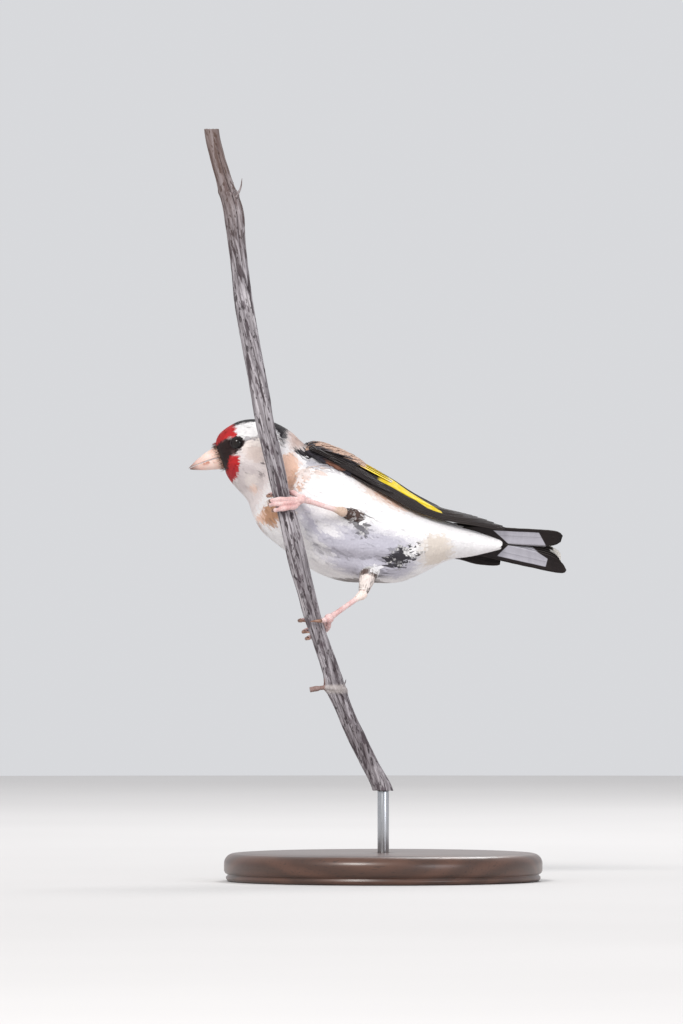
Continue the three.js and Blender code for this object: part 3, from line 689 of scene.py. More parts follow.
# %% [markdown]
# ## Growing the coat
# A coat of thousands of feathers repeats one rule: a point on the skin, a feather turned to lie along the
# body, a little disorder. The tree of Geometry Nodes scatters points no closer than a spacing, turns a
# feather at each one, and lays every corner of it on the skin at its own height, so that a long feather
# follows the round of the breast. It also notes where each feather's tip comes to lie, because that is
# where its colour is looked up.

# %% Steps of the growing tree
class Grower(Net):
    def named(self, name, kind="FLOAT_VECTOR"):
        return self.node("GeometryNodeInputNamedAttribute", {"data_type": kind}, Name=name).outputs[0]

    def position(self):
        return self.node("GeometryNodeInputPosition").outputs[0]

    def nearest(self, skin_mesh, value, place):
        """Value of the skin at the point nearest to a place."""
        return self.node("GeometryNodeSampleNearestSurface", {"data_type": "FLOAT_VECTOR"}, Mesh=skin_mesh,
                         Value=value, Sample_Position=place).outputs["Value"]

    def keep(self, geometry, name, value, kind="FLOAT_VECTOR", domain="POINT"):
        return self.node("GeometryNodeStoreNamedAttribute", {"data_type": kind, "domain": domain},
                         Geometry=geometry, Name=name, Value=value).outputs["Geometry"]

    def between(self, kind, low, high, seed):
        """A random value for each point, drawn with a seed of its own."""
        return port(self.node("FunctionNodeRandomValue", {"data_type": kind}, Min=low, Max=high,
                              Seed=seed).outputs)


# %% The tree that grows feathers
TIP_ASTRAY = 0.3 * MM
INPUTS = {"Spacing": "Float", "Seed": "Int", "Disorder": "Float", "Width": "Float",
          "Feathers": "Collection", "Material": "Material"}


def coat_tree():
    tree = bpy.data.node_groups.new("grow feathers", "GeometryNodeTree")
    sockets = tree.interface
    sockets.new_socket("Skin", in_out="INPUT", socket_type="NodeSocketGeometry")
    for name, kind in INPUTS.items():
        sockets.new_socket(name, in_out="INPUT", socket_type="NodeSocket" + kind)
    sockets.new_socket("Coat", in_out="OUTPUT", socket_type="NodeSocketGeometry")
    net = Grower(tree)
    given = net.node("NodeGroupInput").outputs
    skin_mesh = given["Skin"]

    def drawn(kind, low, high, number):
        return net.between(kind, low, high, net.plus(given["Seed"], number))

    points = net.node("GeometryNodeDistributePointsOnFaces", {"distribute_method": "POISSON"},
                      Mesh=skin_mesh, Selection=net.named("grow", "BOOLEAN"), Seed=given["Seed"],
                      Distance_Min=given["Spacing"], Density_Max=9e6).outputs["Points"]

    # Where the feather's tip lies, and what is known of the skin there
    here = net.position()
    length = net.times(net.named("length", "FLOAT"), MM)
    tip = net.vector("ADD", here, net.vector("SCALE", net.named("lie"), scale=net.times(length, 0.6)))
    tip = net.vector("ADD", tip, drawn("FLOAT_VECTOR", (-TIP_ASTRAY,) * 3, (TIP_ASTRAY,) * 3, 3))
    for name, source in (("mark", "root"), ("where", "where"), ("pattern", "pattern")):
        points = net.keep(points, name, net.nearest(skin_mesh, net.named(source), tip))
    points = net.keep(points, "shade", drawn("FLOAT", 0, 1, 5), "FLOAT")

    # Turned to lie along the body, with a little disorder
    along = net.node("FunctionNodeAxesToRotation", {"primary_axis": "Z", "secondary_axis": "Y"})
    net.join(along.inputs[0], net.named("out"))
    net.join(along.inputs[1], net.named("lie"))
    sway = net.node("ShaderNodeCombineXYZ", Z=net.times(drawn("FLOAT", -1, 1, 7), given["Disorder"]))
    turned = net.node("FunctionNodeRotateRotation", {"rotation_space": "LOCAL"}, Rotation=along,
                      Rotate_By=net.node("FunctionNodeEulerToRotation", Euler=sway))
    size = net.node("ShaderNodeCombineXYZ", X=net.times(length, given["Width"]),
                    Y=net.times(length, drawn("FLOAT", 0.85, 1.12, 9)), Z=MM)
    kinds = net.node("GeometryNodeCollectionInfo", {"transform_space": "ORIGINAL"},
                     Collection=given["Feathers"], Separate_Children=True, Reset_Children=True)
    feathers = net.node("GeometryNodeInstanceOnPoints", Points=points, Instance=kinds, Pick_Instance=True,
                        Instance_Index=drawn("INT", 0, 19, 11), Rotation=turned, Scale=size)
    coat = net.node("GeometryNodeRealizeInstances", Geometry=feathers)

    # Laid on the skin: each corner goes to the skin below it, and up by its own height
    low = net.nearest(skin_mesh, net.position(), here)
    out = net.vector("NORMALIZE", net.nearest(skin_mesh, net.named("out"), here))
    loft = net.times(net.named("height", "FLOAT"), net.named("depth", "FLOAT"))
    fluff = net.math("MULTIPLY_ADD", net.named("shade", "FLOAT"), 0.10, 0.95)
    laid = net.vector("ADD", low, net.vector("SCALE", out, scale=net.times(loft, fluff, MM)))
    moved = net.node("GeometryNodeSetPosition", Geometry=coat, Position=laid)

    # A small patch of the unwrap for each feather, where its root is
    spot = net.vector("ADD", net.named("root_uv"), net.vector("SCALE", net.named("blade"), scale=0.003))
    moved = net.keep(moved, "OFBake", spot, "FLOAT2", "CORNER")
    dressed = net.node("GeometryNodeSetMaterial", Geometry=moved, Material=given["Material"])
    net.join(net.node("NodeGroupOutput").inputs[0], dressed)
    return tree


grow_feathers = coat_tree()
print("nodes in the tree:", len(grow_feathers.nodes))


# %% Grow one piece of coat from a host's faces
def grow_coat(name, host, where_to_grow, feathers, material, spacing, width, disorder, seed):
    mesh = host.data.copy()
    store(mesh, "grow", where_to_grow, "BOOLEAN")
    piece = in_scene(bpy.data.objects.new(name, mesh))
    modifier = piece.modifiers.new("coat", "NODES")
    modifier.node_group = grow_feathers
    values = dict(zip(INPUTS, (spacing * MM, seed, disorder, width, feathers, material)))
    for item in grow_feathers.interface.items_tree:
        if item.item_type == "SOCKET" and item.name in values:
            modifier[item.identifier] = values[item.name]
    attributes = applied(piece).data.attributes
    for spare in ("grow", "root", "root_uv", "lie", "height", "depth", "length"):
        if spare in attributes:
            attributes.remove(attributes[spare])
    piece.data.shade_flat()
    return piece

# %% [markdown]
# ## The markings of the plumage
# The bird's pattern runs on from skin to feathers. So it is painted once, on the points of the skin, and
# each feather takes the colour of the place where its tip lies. Each mark is an outline of a few points
# with a smooth curve through them. On the head they are drawn in the side view, and so lie alike on both
# sides. On the body they are drawn in stations along it and degrees round it from the middle of the belly.
# They are laid one over the other, and noise makes their edges uneven, as feathers do.

# %% Paint with soft-edged outlines
def closed_curve(outline, steps=5):
    """A smooth closed curve through the points of an outline."""
    corners = [np.roll(np.array(outline, float), shift, axis=0) for shift in (1, 0, -1, -2)]
    return np.stack([curve_between(*corners, step / steps) for step in range(steps)], axis=1).reshape(-1, 2)


def depth_inside(plane, outline, reach):
    """How far inside an outline each point lies. It is negative outside, and -reach far away."""
    curve = closed_curve(outline)
    depth = np.full(len(plane), -float(reach))
    low = curve.min(axis=0) - reach
    high = curve.max(axis=0) + reach
    near = np.nonzero(np.all((plane > low) & (plane < high), axis=1))[0]
    x, y = plane[near].T
    away = np.full(len(near), 1e9)
    inside = np.zeros(len(near), bool)
    for start, end in zip(curve, np.roll(curve, -1, axis=0)):
        away = np.minimum(away, np.hypot(*gap_to_line(x, y, start, end)))
        rise = end[1] - start[1]
        crossed = (start[1] > y) != (end[1] > y)
        inside ^= crossed & (x < start[0] + (y - start[1]) / (rise or 1e-12) * (end[0] - start[0]))
    depth[near] = np.where(inside, away, -away)
    return depth


class Paint:
    """Colours laid over each other on the points of the skin."""

    def __init__(self, base):
        self.colour = np.tile(colour(base)[:3], (len(skin_points), 1))

    def lay(self, amount, shade):
        self.colour += (colour(shade)[:3] - self.colour) * np.asarray(amount)[:, None]

    def mark(self, plane, outline, shade, soft, strength=1):
        depth = depth_inside(plane, outline, soft * 3 + 1) + uneven * min(soft, 0.6)
        self.lay(smooth_step(depth, -soft, soft) * strength, shade)

    def marks(self, plane, marks, scale=(1, 1)):
        for outline, shade, soft, strength in marks:
            self.mark(plane, np.array(outline) * scale, shade, soft, strength)


PLAN_SCALE = (5.4, 0.29)
uneven = np.array([noise.noise(Vector(p * 1.1)) + 0.6 * noise.noise(Vector(p * 2.6)) for p in skin_points])
side_view = (skin_points + skin_out * skin_depth[:, None])[:, (0, 2)]
both_sides = np.column_stack([skin_place, np.abs(skin_around)]) * PLAN_SCALE
one_side = np.column_stack([skin_place, skin_around]) * PLAN_SCALE
print("unevenness of the edges:", uneven.min().round(2), "to", uneven.max().round(2))

# %% Colours of the plumage
RED = "c62a2c"
DARK_RED = "a02731"
BLACK = "211b20"
LORE_BLACK = "2c1d1c"
WHITE = "fdfbfa"
CREAM = "f6ece4"
CHEEK = "f0e6e3"
CHEEK_BUFF = "e2cfc4"
THROAT_GREY = "d5cac8"
GREY_LINE = "8f888d"
SPOT = "5c5051"
NAPE_BUFF = "c8aea3"
PEACH = "f4cdb6"
BUFF = "d3a68a"
TAN = "b88a69"
# Painted shade of the belly's lower side
BELLY_PAINTED_SHADE = "b6b4c4"
# Painted shade in the belly's crease
CREASE_PAINTED_SHADE = "8d8b93"
BACK_BROWN = "8d6c52"
BACK_DARK = "6a5142"
DOWN_BLACK = "2b282d"
# Dark down on the left thigh, and painted shade under the belly's edge by the right leg
DARK_DOWN_AND_SHADE = "5b4a44"
HEEL_CREAM = "fbeee6"

# %% Marks of the head, in the side view: outline, colour, softness, strength
HEAD_MARKS = [
    # Throat and cheek
    ([(-46.5, 128), (-43.8, 131.2), (-40.5, 130), (-38.4, 126.5), (-40.5, 122.5), (-45, 123)], THROAT_GREY,
     1.2, 0.9),
    ([(-43.4, 136.4), (-40.6, 137.2), (-38, 135.6), (-38.2, 132.6), (-41, 131.8), (-43.4, 133.4)],
     CHEEK_BUFF, 1, 0.75),
    ([(-44.2, 137), (-40.5, 138.8), (-37.5, 138.6), (-37, 136.8), (-40.5, 136.8), (-43.2, 135.6)], CREAM,
     0.6, 0.9),
    ([(-43.6, 127.2), (-41.4, 128.2), (-39.6, 126.2), (-40.6, 123.8), (-43, 124.4)], CREAM, 0.8, 0.6),
    ([(-42, 123.4), (-40.8, 124.8), (-39.6, 123.4), (-40.4, 121.8)], PEACH, 0.6, 0.6),
    ([(-38.7, 132.4), (-38, 132.7), (-37.5, 131.6), (-38.2, 131.1)], SPOT, 0.35, 0.9),
    ([(-39.3, 127.8), (-38.4, 128.6), (-37.6, 128), (-38.4, 126.9)], SPOT, 0.5, 0.7),
    # The white band, the thin line behind the eye, the black crown and nape
    ([(-47.6, 141), (-46.6, 143.2), (-43.6, 145), (-38, 145), (-33.4, 142.8), (-33, 137.4), (-34, 133),
     (-36.6, 133.4), (-36.8, 138.2), (-40.2, 139.3), (-43.3, 138.6), (-45.4, 139.3)], WHITE, 0.3, 1),
    ([(-43.8, 138.7), (-41.2, 139.5), (-37.4, 139.9), (-37.4, 139.3), (-41.2, 138.8), (-43.6, 138.1)],
     GREY_LINE, 0.3, 0.9),
    ([(-48.2, 143.1), (-46.7, 143), (-45.6, 143.4), (-43.6, 144), (-40.6, 144.2), (-37, 143.7),
     (-34.6, 142.6), (-33.3, 140.4), (-32.7, 138.2), (-31.8, 136), (-31, 137.2), (-30.3, 139.4),
     (-30, 141.6), (-31, 144), (-35, 147), (-42, 149), (-48, 147)], BLACK, 0.28, 1),
    # The red face, and the black between bill and eye
    ([(-53.2, 136.6), (-51.2, 136.6), (-50.4, 138.3), (-48.8, 139.1), (-46.8, 139.3), (-45, 139.6),
     (-46.4, 140.6), (-46.9, 141.6), (-46.5, 142.5), (-47.6, 143.2), (-50, 145), (-54, 143)], RED, 0.25, 1),
    ([(-49.6, 132.2), (-48.2, 133.6), (-46.6, 133.8), (-45.6, 133.2), (-45.2, 131), (-45.6, 129),
     (-46.2, 127.4), (-47.2, 125.6), (-49, 124.6), (-51.5, 127), (-51, 130)], RED, 0.25, 1),
    ([(-47.8, 130.4), (-46.4, 130.6), (-46.2, 128.4), (-47.2, 126.4), (-48.6, 127.6)], DARK_RED, 0.7, 0.6),
    ([(-51.8, 137.4), (-50.3, 138.5), (-48.6, 139), (-46.1, 139.4), (-44.5, 139.2), (-43.3, 138.5),
     (-43.8, 136.9), (-44.8, 135.7), (-46.4, 134.3), (-48, 133.7), (-48.6, 132), (-49, 129.4),
     (-50.3, 128.8), (-53, 129.2), (-54, 133), (-53.4, 136)], LORE_BLACK, 0.25, 1),
    ([(-47.8, 135), (-46.6, 134.9), (-45.9, 135.2), (-46.2, 134.6), (-47.2, 134.3)], "6b5450", 0.3, 0.8),
]

# %% Marks of the body: outline in stations and degrees, colour, softness in mm, strength
BODY_MARKS = [
    # Buff nape, brown mantle and pale rump
    ([(6.6, 180), (6.6, 118), (7, 76), (7.5, 60), (8.1, 90), (8.6, 120), (9.6, 130), (9.6, 180)], NAPE_BUFF,
     2, 1),
    ([(8.4, 184), (8.4, 128), (9.4, 116), (13.2, 114), (13.8, 130), (13.8, 184)], BACK_BROWN, 2, 1),
    ([(14.2, 184), (14, 130), (14.6, 100), (16.9, 100), (17.4, 184)], CREAM, 1.2, 0.9),
    # Breast side: peach, browner towards the bulge of the flank
    ([(7, 53), (7.6, 53), (8, 46), (8.2, 30), (8.2, 12), (8, 4), (7.5, 14), (7.1, 36)], PEACH, 0.9, 1),
    ([(7.9, 34), (8.3, 30), (8.6, 10), (8.3, 4), (7.9, 10)], BUFF, 0.8, 0.7),
    ([(8.2, 12), (8.2, 22), (8.3, 32), (8.7, 46), (9.2, 62), (9.3, 55), (8.8, 36), (8.65, 22), (8.5, 12)],
     BUFF, 0.8, 0.5),
    # Flank, with two warmer streaks
    ([(10.7, 84), (11.4, 108), (12.4, 106), (13.4, 104), (13.8, 92), (12.8, 78), (11.7, 70), (10.9, 74)],
     "efd9cb", 1.6, 0.9),
    ([(11.4, 84), (11.8, 90), (12.4, 88), (12.6, 82), (12, 78), (11.5, 79)], "d2a183", 0.9, 0.75),
    # Painted shade of the lower belly, lavender-grey, with two light silky streaks kept white in it
    ([(8.8, 4), (9.4, 12), (10.6, 26), (11.8, 34), (13.2, 30), (13.2, -20), (11, -20), (9, -20)],
     BELLY_PAINTED_SHADE, 2.6, 0.75),
    ([(9.5, 8), (9.8, 14), (10.3, 17), (10.6, 14), (10.3, 8), (9.9, 5)], WHITE, 0.9, 0.8),
    ([(10.2, 27), (10.7, 35), (10.9, 45), (11.4, 46), (11.3, 38), (10.7, 30)], WHITE, 0.8, 0.9),
]

# Marks on one side only: a patch on the right breast, the wing's front edge with the grey small feathers
# under it, which the body's feathers hide on the higher wing, painted shade in the belly's crease, and the
# plumage ruffled round the legs, with painted shade along the belly's lower edge above the right leg
ONE_SIDE_MARKS = [
    ([(7.25, -16), (7.5, -10), (7.9, -14), (8.2, -28), (8.25, -44), (8, -50), (7.7, -46), (7.35, -30)], TAN,
     0.8, 0.85),
    ([(7.56, 61), (8, 76), (8.6, 98), (8.9, 96), (8.8, 76), (8.4, 62), (8.06, 57), (7.76, 56)], BLACK, 0.3,
     1),
    ([(8.3, 60), (8.8, 66), (9.3, 78), (9.9, 98), (10.5, 104), (10.5, 93), (10, 83), (9.3, 62), (8.7, 50),
     (8.4, 47)], "c3c1c8", 0.5, 0.9),
    ([(8.7, 50), (9.3, 63), (10, 84), (10.5, 95), (10.7, 97), (10.5, 90), (10, 80.5), (9.3, 60.5),
     (8.75, 48)], GREY_LINE, 0.3, 0.8),
    # Painted shade along the crease between the belly's two masses
    ([(9.7, -17), (10.6, -10.5), (11.4, -5.5), (12.3, -2.5), (12.3, 0), (11.4, -3), (10.6, -7.5),
     (9.8, -13)], CREASE_PAINTED_SHADE, 0.7, 0.75),
    ([(12.2, 0), (12.5, 14), (12.8, 24), (13.5, 26), (13.8, 16), (13.4, 3), (13.1, -4), (12.8, -14),
     (12.4, -9)], DOWN_BLACK, 0.5, 0.95),
    ([(12.9, 16), (13.4, 23), (14.2, 24), (14.5, 20), (13.8, 11), (13.3, 11)], WHITE, 0.4, 1),
    ([(13.6, 40), (14.6, 40), (14.8, -40), (13.9, -30), (13.6, 0)], "d8c6ae", 1.2, 0.6),
    # Painted shade along the belly's lower edge, above the right leg
    ([(10.6, -64), (11, -44), (11.8, -38), (12.2, -44), (12.3, -64)], DARK_DOWN_AND_SHADE, 0.8, 0.75),
    ([(10.75, 40), (11.2, 43), (11.45, 34), (11.44, 25), (11.1, 21), (10.9, 30)], DOWN_BLACK, 0.6, 0.75),
]

# %% Paint the skin
body = Paint(WHITE)
body.marks(both_sides, BODY_MARKS, PLAN_SCALE)
streaks = np.array([noise.noise(Vector(p * (0.35, 0.35, 1.1))) for p in skin_points])
back = smooth_step(np.abs(skin_around), 108, 122) * smooth_step(skin_place, 8.6, 9.4)
body.lay(back * (1 - smooth_step(skin_place, 13.4, 14.2)) * smooth_step(streaks, 0, 0.5) * 0.7, BACK_DARK)
body.marks(one_side, ONE_SIDE_MARKS, PLAN_SCALE)
head = Paint(CHEEK)
head.marks(side_view, HEAD_MARKS)
neck = smooth_step(skin_place + 0.12 * uneven, 6.4, 7)[:, None]
pattern = head.colour * (1 - neck) + body.colour * neck

# Thighs: white like the belly, cream on the right heel, and dark part way down: dark down on the left one,
# painted shade on the right one, where the leg comes out from under the belly
on_thigh = skin_place >= 17.9
shin = skin_place - np.floor(skin_place)
right_shin = smooth_step(skin_place, 18.93, 18.99)
thigh = Paint(WHITE)
thigh.lay(smooth_step(shin, 0.40, 0.60) * (1 - right_shin), DARK_DOWN_AND_SHADE)
# On the right thigh the dark band is painted shade, where the leg comes out from under the belly
thigh.lay(smooth_step(shin, 0.30, 0.42) * right_shin, DARK_DOWN_AND_SHADE)
thigh.lay(smooth_step(shin, 0.44, 0.52) * right_shin, HEEL_CREAM)
pattern = np.where(on_thigh[:, None], thigh.colour, pattern)

# Down: how many feathers of a place show white in the dark, or dark in the white
down = smooth_step(shin, 0.5, 0.6) * on_thigh * (1 - right_shin) * 0.6
for outline, shade, *_ in ONE_SIDE_MARKS:
    if shade is DOWN_BLACK:
        depth = depth_inside(one_side, np.array(outline) * PLAN_SCALE, 2)
        down = np.maximum(down, smooth_step(depth, -0.6, 0.6))
store(skin.data, "pattern", pattern)
store(skin.data, "where", np.column_stack([skin_place, skin_around, down]))
print("marks painted:", len(HEAD_MARKS) + len(BODY_MARKS) + len(ONE_SIDE_MARKS))

# %% [markdown]
# ## Finish of feathers and skin
# Both take their painted colour and vary it. Each feather is a little lighter or darker than the next, fine
# streaks run along its barbs, and its root is shaded by the feathers over it. Barbs are so thin that light
# scatters among them. So the feather is lit in part as the skin under it would be, and a mass of barbs
# reads as one silky form.

# %% Finish of the plumage
def plumage_finish(name, on_feathers):
    net = Finish(name, 0.8, Sheen_Weight=0.1, Sheen_Roughness=0.5, Specular_IOR_Level=0.2)
    net.shade = net.read("pattern", "Color")
    mark = net.read("mark" if on_feathers else "root")
    dimmed = net.mix(1, net.shade, (0.86, 0.85, 0.87, 1), "MULTIPLY")
    net.lay(net.step(net.noise(mark, 0.45), 0.45, 0.75, 0, 0.5), dimmed)
    if on_feathers:
        blade = net.read("blade")
        variety = net.read("shade", "Fac")
        net.lay(net.step(variety, 0, 1, 0, 0.5), dimmed)
        net.lay(net.times(net.step(variety, 0.86, 0.92, 0, 0.6), net.parts("where")["Z"]), WHITE)
        root_dark = net.step(net.parts(blade)["Y"], 0.35, 0.05, 0, 0.06)
        net.lay(root_dark, net.mix(0.6, net.shade, DOWN_BLACK))
        fine = net.noise(blade, 40, 2, stretch=(1, 0.12, 1))
        net.lay(net.step(fine, 0.4, 0.65, 0, 0.8), dimmed)
        own = net.node("ShaderNodeNewGeometry").outputs["Normal"]
        silky = net.vector("ADD", own, net.vector("SCALE", net.read("out"), scale=1.6))
        net.bump(fine, 0.3, 0.05, Normal=net.vector("NORMALIZE", silky))
    else:
        net.lay(net.noise(mark, 2), dimmed)
        net.bump(net.noise(mark, 3), 0.3, 0.1)
    return net.done()


skin_finish = plumage_finish("downy skin", False)
plumage = plumage_finish("plumage", True)
print("plumage nodes:", len(plumage.node_tree.nodes))

# %% [markdown]
# ## Where each kind of feather grows
# The face has the shortest and densest feathers, the crown and cheek slightly longer ones, and the belly
# the long loose ones that make it look fluffed. Nothing grows where an eye looks out or under the folded
# wings. The coat is grown in pieces along the body, so that each stays light enough to handle.

# %% Zones of the coat
EYE_RADIUS = 2.1


def eye_centre(side):
    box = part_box("eye_left" if side < 0 else "eye_right")
    return np.array([(low + high) / 2 for low, high in zip(*box)]) / MM


EYES = [eye_centre(-1), eye_centre(1)]
to_eye = np.full(len(skin_points), 99)
for centre in EYES:
    for share in (0, 0.45, 0.9):
        reached = skin_points + skin_lie * (skin_length * share)[:, None]
        to_eye = np.minimum(to_eye, np.linalg.norm(reached - centre, axis=1))
clear_of_eyes = to_eye > 2.25
on_body = ~on_thigh
back_angle = 180 - np.abs(skin_around)
under_wing = on_body & (skin_place > 8.8) & (skin_place < 15.2) & (back_angle < 84) & (back_angle > 20)
free = clear_of_eyes & ~under_wing


def zone(start, end, low=-180, high=180):
    round_it = (skin_around >= low) & (skin_around < high)
    return free & on_body & (skin_place >= start) & (skin_place < end) & round_it


ZONES = [
    ("face_feathers", zone(0.25, 2.6), tiny, 0.34, 1.1, 0.15),
    ("cheek_and_crown", zone(2.6, 4.6), tiny, 0.42, 1.05, 0.15),
    ("neck_feathers", zone(4.6, 6.8), tiny, 0.46, 0.95, 0.18),
    ("breast_left", zone(6.8, 9.2, 0, 180), soft, 0.62, 1, 0.16),
    ("breast_right", zone(6.8, 9.2, -180, 0), soft, 0.64, 1, 0.16),
    ("belly_left", zone(9.2, 12.2, 0, 180), soft, 0.62, 1, 0.16),
    ("belly_right", zone(9.2, 12.2, -180, 0), soft, 0.64, 1, 0.16),
    ("vent_feathers", zone(12.2, 14.6), soft, 0.66, 1, 0.16),
    ("tail_coverts", zone(14.6, 16.3), soft, 0.6, 1, 0.12),
    ("thigh_feathers", on_thigh & free, soft, 0.5, 1, 0.2),
    ("ruffled_down", free & on_body & (down > 0.5), soft, 0.8, 0.35, 0.5),
]

# %% Grow them
for number, (name, mask, feathers, spacing, width, disorder) in enumerate(ZONES):
    slot = "face_feathers" if number < 2 else "body_feathers"
    piece = grow_coat(name, skin, mask, feathers, plumage, spacing, width, disorder, seed=number + 3)
    finish_piece(piece, plumage, slot)
finish_piece(skin, skin_finish, "body_feathers", "head", "neck", "torso", "thigh_left", "thigh_right")

# %% [markdown]
# ## The folded wings
# A folded wing is a stack of feathers, slid over each other like the blades of a fan. The long primaries
# lie lowest and reach farthest back, the secondaries and tertials lie over them, and three rows of coverts
# hide every root. Each feather is bent over one curved sheet that wraps the side of the body, and the tiers
# are short rows of numbers: where their first and last feather start and end.

# %% The sheet a folded wing lies on
WING_LENGTH = 72
# Columns: station, height over the body, how much flatter over the back, angle of the lower edge from
# the middle of the back, and how much higher and farther out the right wing lies
WING = np.array([
    [7.9, -1.3, 0, 96, 8, 0],
    [9.3, -0.8, 0, 98, 8, 0],
    [10.9, 0.1, 0, 99, 12, 0],
    [12.6, 1, 0.4, 99, 22, 0],
    [14.2, 1.2, 0.8, 101, 38, 0],
    [15.6, 2.5, 1.2, 105, 46, 0.2],
    [16.8, 4.1, 1.8, 107, 13, 1.1],
])


def body_reach(upright, high, half, out):
    """How far the body reaches from its middle, the way that out points."""
    return 1 / np.hypot((out * upright).sum(axis=1) / high, out[:, 1] / half)


def wing_place(side, along, across, lift):
    """Points of a folded wing. side is 1 for the left wing and -1 for the right one."""
    along, across, lift = np.broadcast_arrays(np.asarray(along, float), across, lift)
    at = at_stations(WING, along.ravel() / WING_LENGTH * (len(WING) - 1))
    centre, upright, high, half, _ = body_frame(at[:, 0])
    left, back = rolled_axes(upright)
    far = 1 if side < 0 else 0
    over = at[:, 1] + at[:, 5] * far
    wide = body_reach(upright, high, half, left) + over
    deep = body_reach(upright, high, half, back) + over - at[:, 2]
    turn = np.radians(at[:, 3] - at[:, 4] * far) - 2 * across.ravel() / (wide + deep)
    out = (wide + lift.ravel()) * np.sin(turn) * side
    return centre + left * out[:, None] + back * ((deep + lift.ravel()) * np.cos(turn))[:, None]


# %% [markdown]
# ## One flight feather
# A flight feather is a firm flat blade with a shaft along it. It is made as a closed shell, thin at its
# edges and raised along the shaft, which widens from the root, rounds off at the tip, and has small splits
# where barbs have come apart. It carries its own measures, across the vane, along it and back from its tip,
# and the finish draws shaft, barbs, bars and pale edges from those.

# %% Draw a flight feather
SHAFT_HEIGHT = 0.13
VANE_COLUMNS = np.array([-1, -0.82, -0.55, -0.3, -0.1, 0, 0.1, 0.3, 0.55, 0.82, 1])


class Vanes:
    """Collects the feathers of one piece in one mesh."""

    def __init__(self):
        self.points, self.faces, self.spots = [], [], []
        self.notes = {"measure": [], "kind": [], "sheet": []}
        self.count = 0

    def add(self, place_at, length, half, rows, tip_start, tilt, thickness, kind, rng, blunt):
        """place_at(s, across, lift) gives the points, and where on the wing they are, from root to tip."""
        s = np.concatenate([np.linspace(0, 0.8, rows - 7), np.linspace(0.84, 0.995, 7)])
        past = np.clip(s - tip_start, 0, 1) / (1 - tip_start)
        shrink = np.sqrt(np.clip(1 - past ** 2, 0, 1)) ** (0.5 / blunt)
        ragged = 1 - 0.035 * rng.random(rows) * (s > 0.25)
        wide = np.maximum(half * np.minimum(1, 0.5 + 1.6 * s) * shrink * ragged, 0.05)[:, None]
        u = np.concatenate([VANE_COLUMNS, VANE_COLUMNS[-2:0:-1]])
        top = np.where(np.arange(len(u)) < len(VANE_COLUMNS), 1, -1)
        bulge = 1 - u ** 2
        ridge = SHAFT_HEIGHT * np.exp(-(u / 0.09) ** 2) * (1 - 0.7 * s[:, None])
        shell = thickness / 2 * (0.25 + 0.75 * bulge) * (1 - 0.5 * s[:, None]) + ridge
        lift = tilt * wide * u + top * shell + 0.12 * half * bulge
        across = (wide * u).ravel()
        s_grid = np.repeat(s, len(u))
        u_grid = np.tile(u, rows)
        along = s_grid * length
        start = len(self.points)
        placed, sheet = place_at(s_grid, across, lift.ravel())
        self.points.extend(placed)
        self.faces.extend(tuple(i + start for i in face) for face in tube_faces(rows, len(u)))
        self.notes["sheet"].extend(sheet)
        self.notes["measure"].extend(np.column_stack([u_grid, along, length - along]))
        alike = np.full((len(placed), 2), (kind, rng.random()))
        self.notes["kind"].extend(np.column_stack([alike, across]))
        column, row = self.count % 12, self.count // 12
        self.spots.extend(np.column_stack([(column + 0.1 + 0.36 * (u_grid + 1)) / 12 * 0.98,
                                           (row + 0.05 + 0.85 * s_grid) / 6 * 0.98]))
        self.count += 1

    def piece(self, name):
        piece = new_piece(name, self.points, self.faces)
        for note, values in self.notes.items():
            store(piece.data, note, values)
        store_unwrap(piece.data, self.spots)
        return piece


# %% Tiers of the wing
PRIMARY, SECONDARY, TERTIAL, PRIMARY_COVERT, GREATER_COVERT, MEDIAN_COVERT, ALULA = range(7)
# Each tier: kind, feathers, root and tip of its first and last feather, lift, half width, tilt, bluntness
WING_TIERS = [
    (PRIMARY, 8, [[16, 1.6], [20, 7]], [[72.6, 1.5], [57, 6]], [0.9, 1.7], [2.6, 3], -0.14, 0.8),
    (SECONDARY, 6, [[20, 7], [22, 13]], [[51, 7.4], [47, 12.4]], [1.8, 2.3], [3, 3.5], -0.14, 0.8),
    (TERTIAL, 3, [[22, 14], [22, 18]], [[50, 11], [41, 15.2]], [2.4, 2.8], [3.2, 3.6], -0.14, 0.7),
    (PRIMARY_COVERT, 6, [[12, 1.4], [13, 4.6]], [[33, 1], [27, 4.6]], [1.9, 2.3], [1.3, 1.8], -0.25, 0.5),
    (GREATER_COVERT, 9, [[13, 6.6], [14, 20]], [[32.6, 6.4], [31.5, 19.6]], [2.5, 2.8], [1.9, 2.4],
     -0.3, 0.7),
    (MEDIAN_COVERT, 3, [[8, 3], [8, 5]], [[19.5, 3.4], [20.5, 5.6]], [2.4, 2.6], [1.5, 1.7], -0.3, 0.8),
    (ALULA, 3, [[4, 2.2], [5, 3.4]], [[18, 1.8], [14, 3.2]], [2.4, 2.7], [1.4, 1.6], -0.3, 0.5),
]


def spread(pair, t):
    return np.asarray(pair[0], float) * (1 - t) + np.asarray(pair[1], float) * t


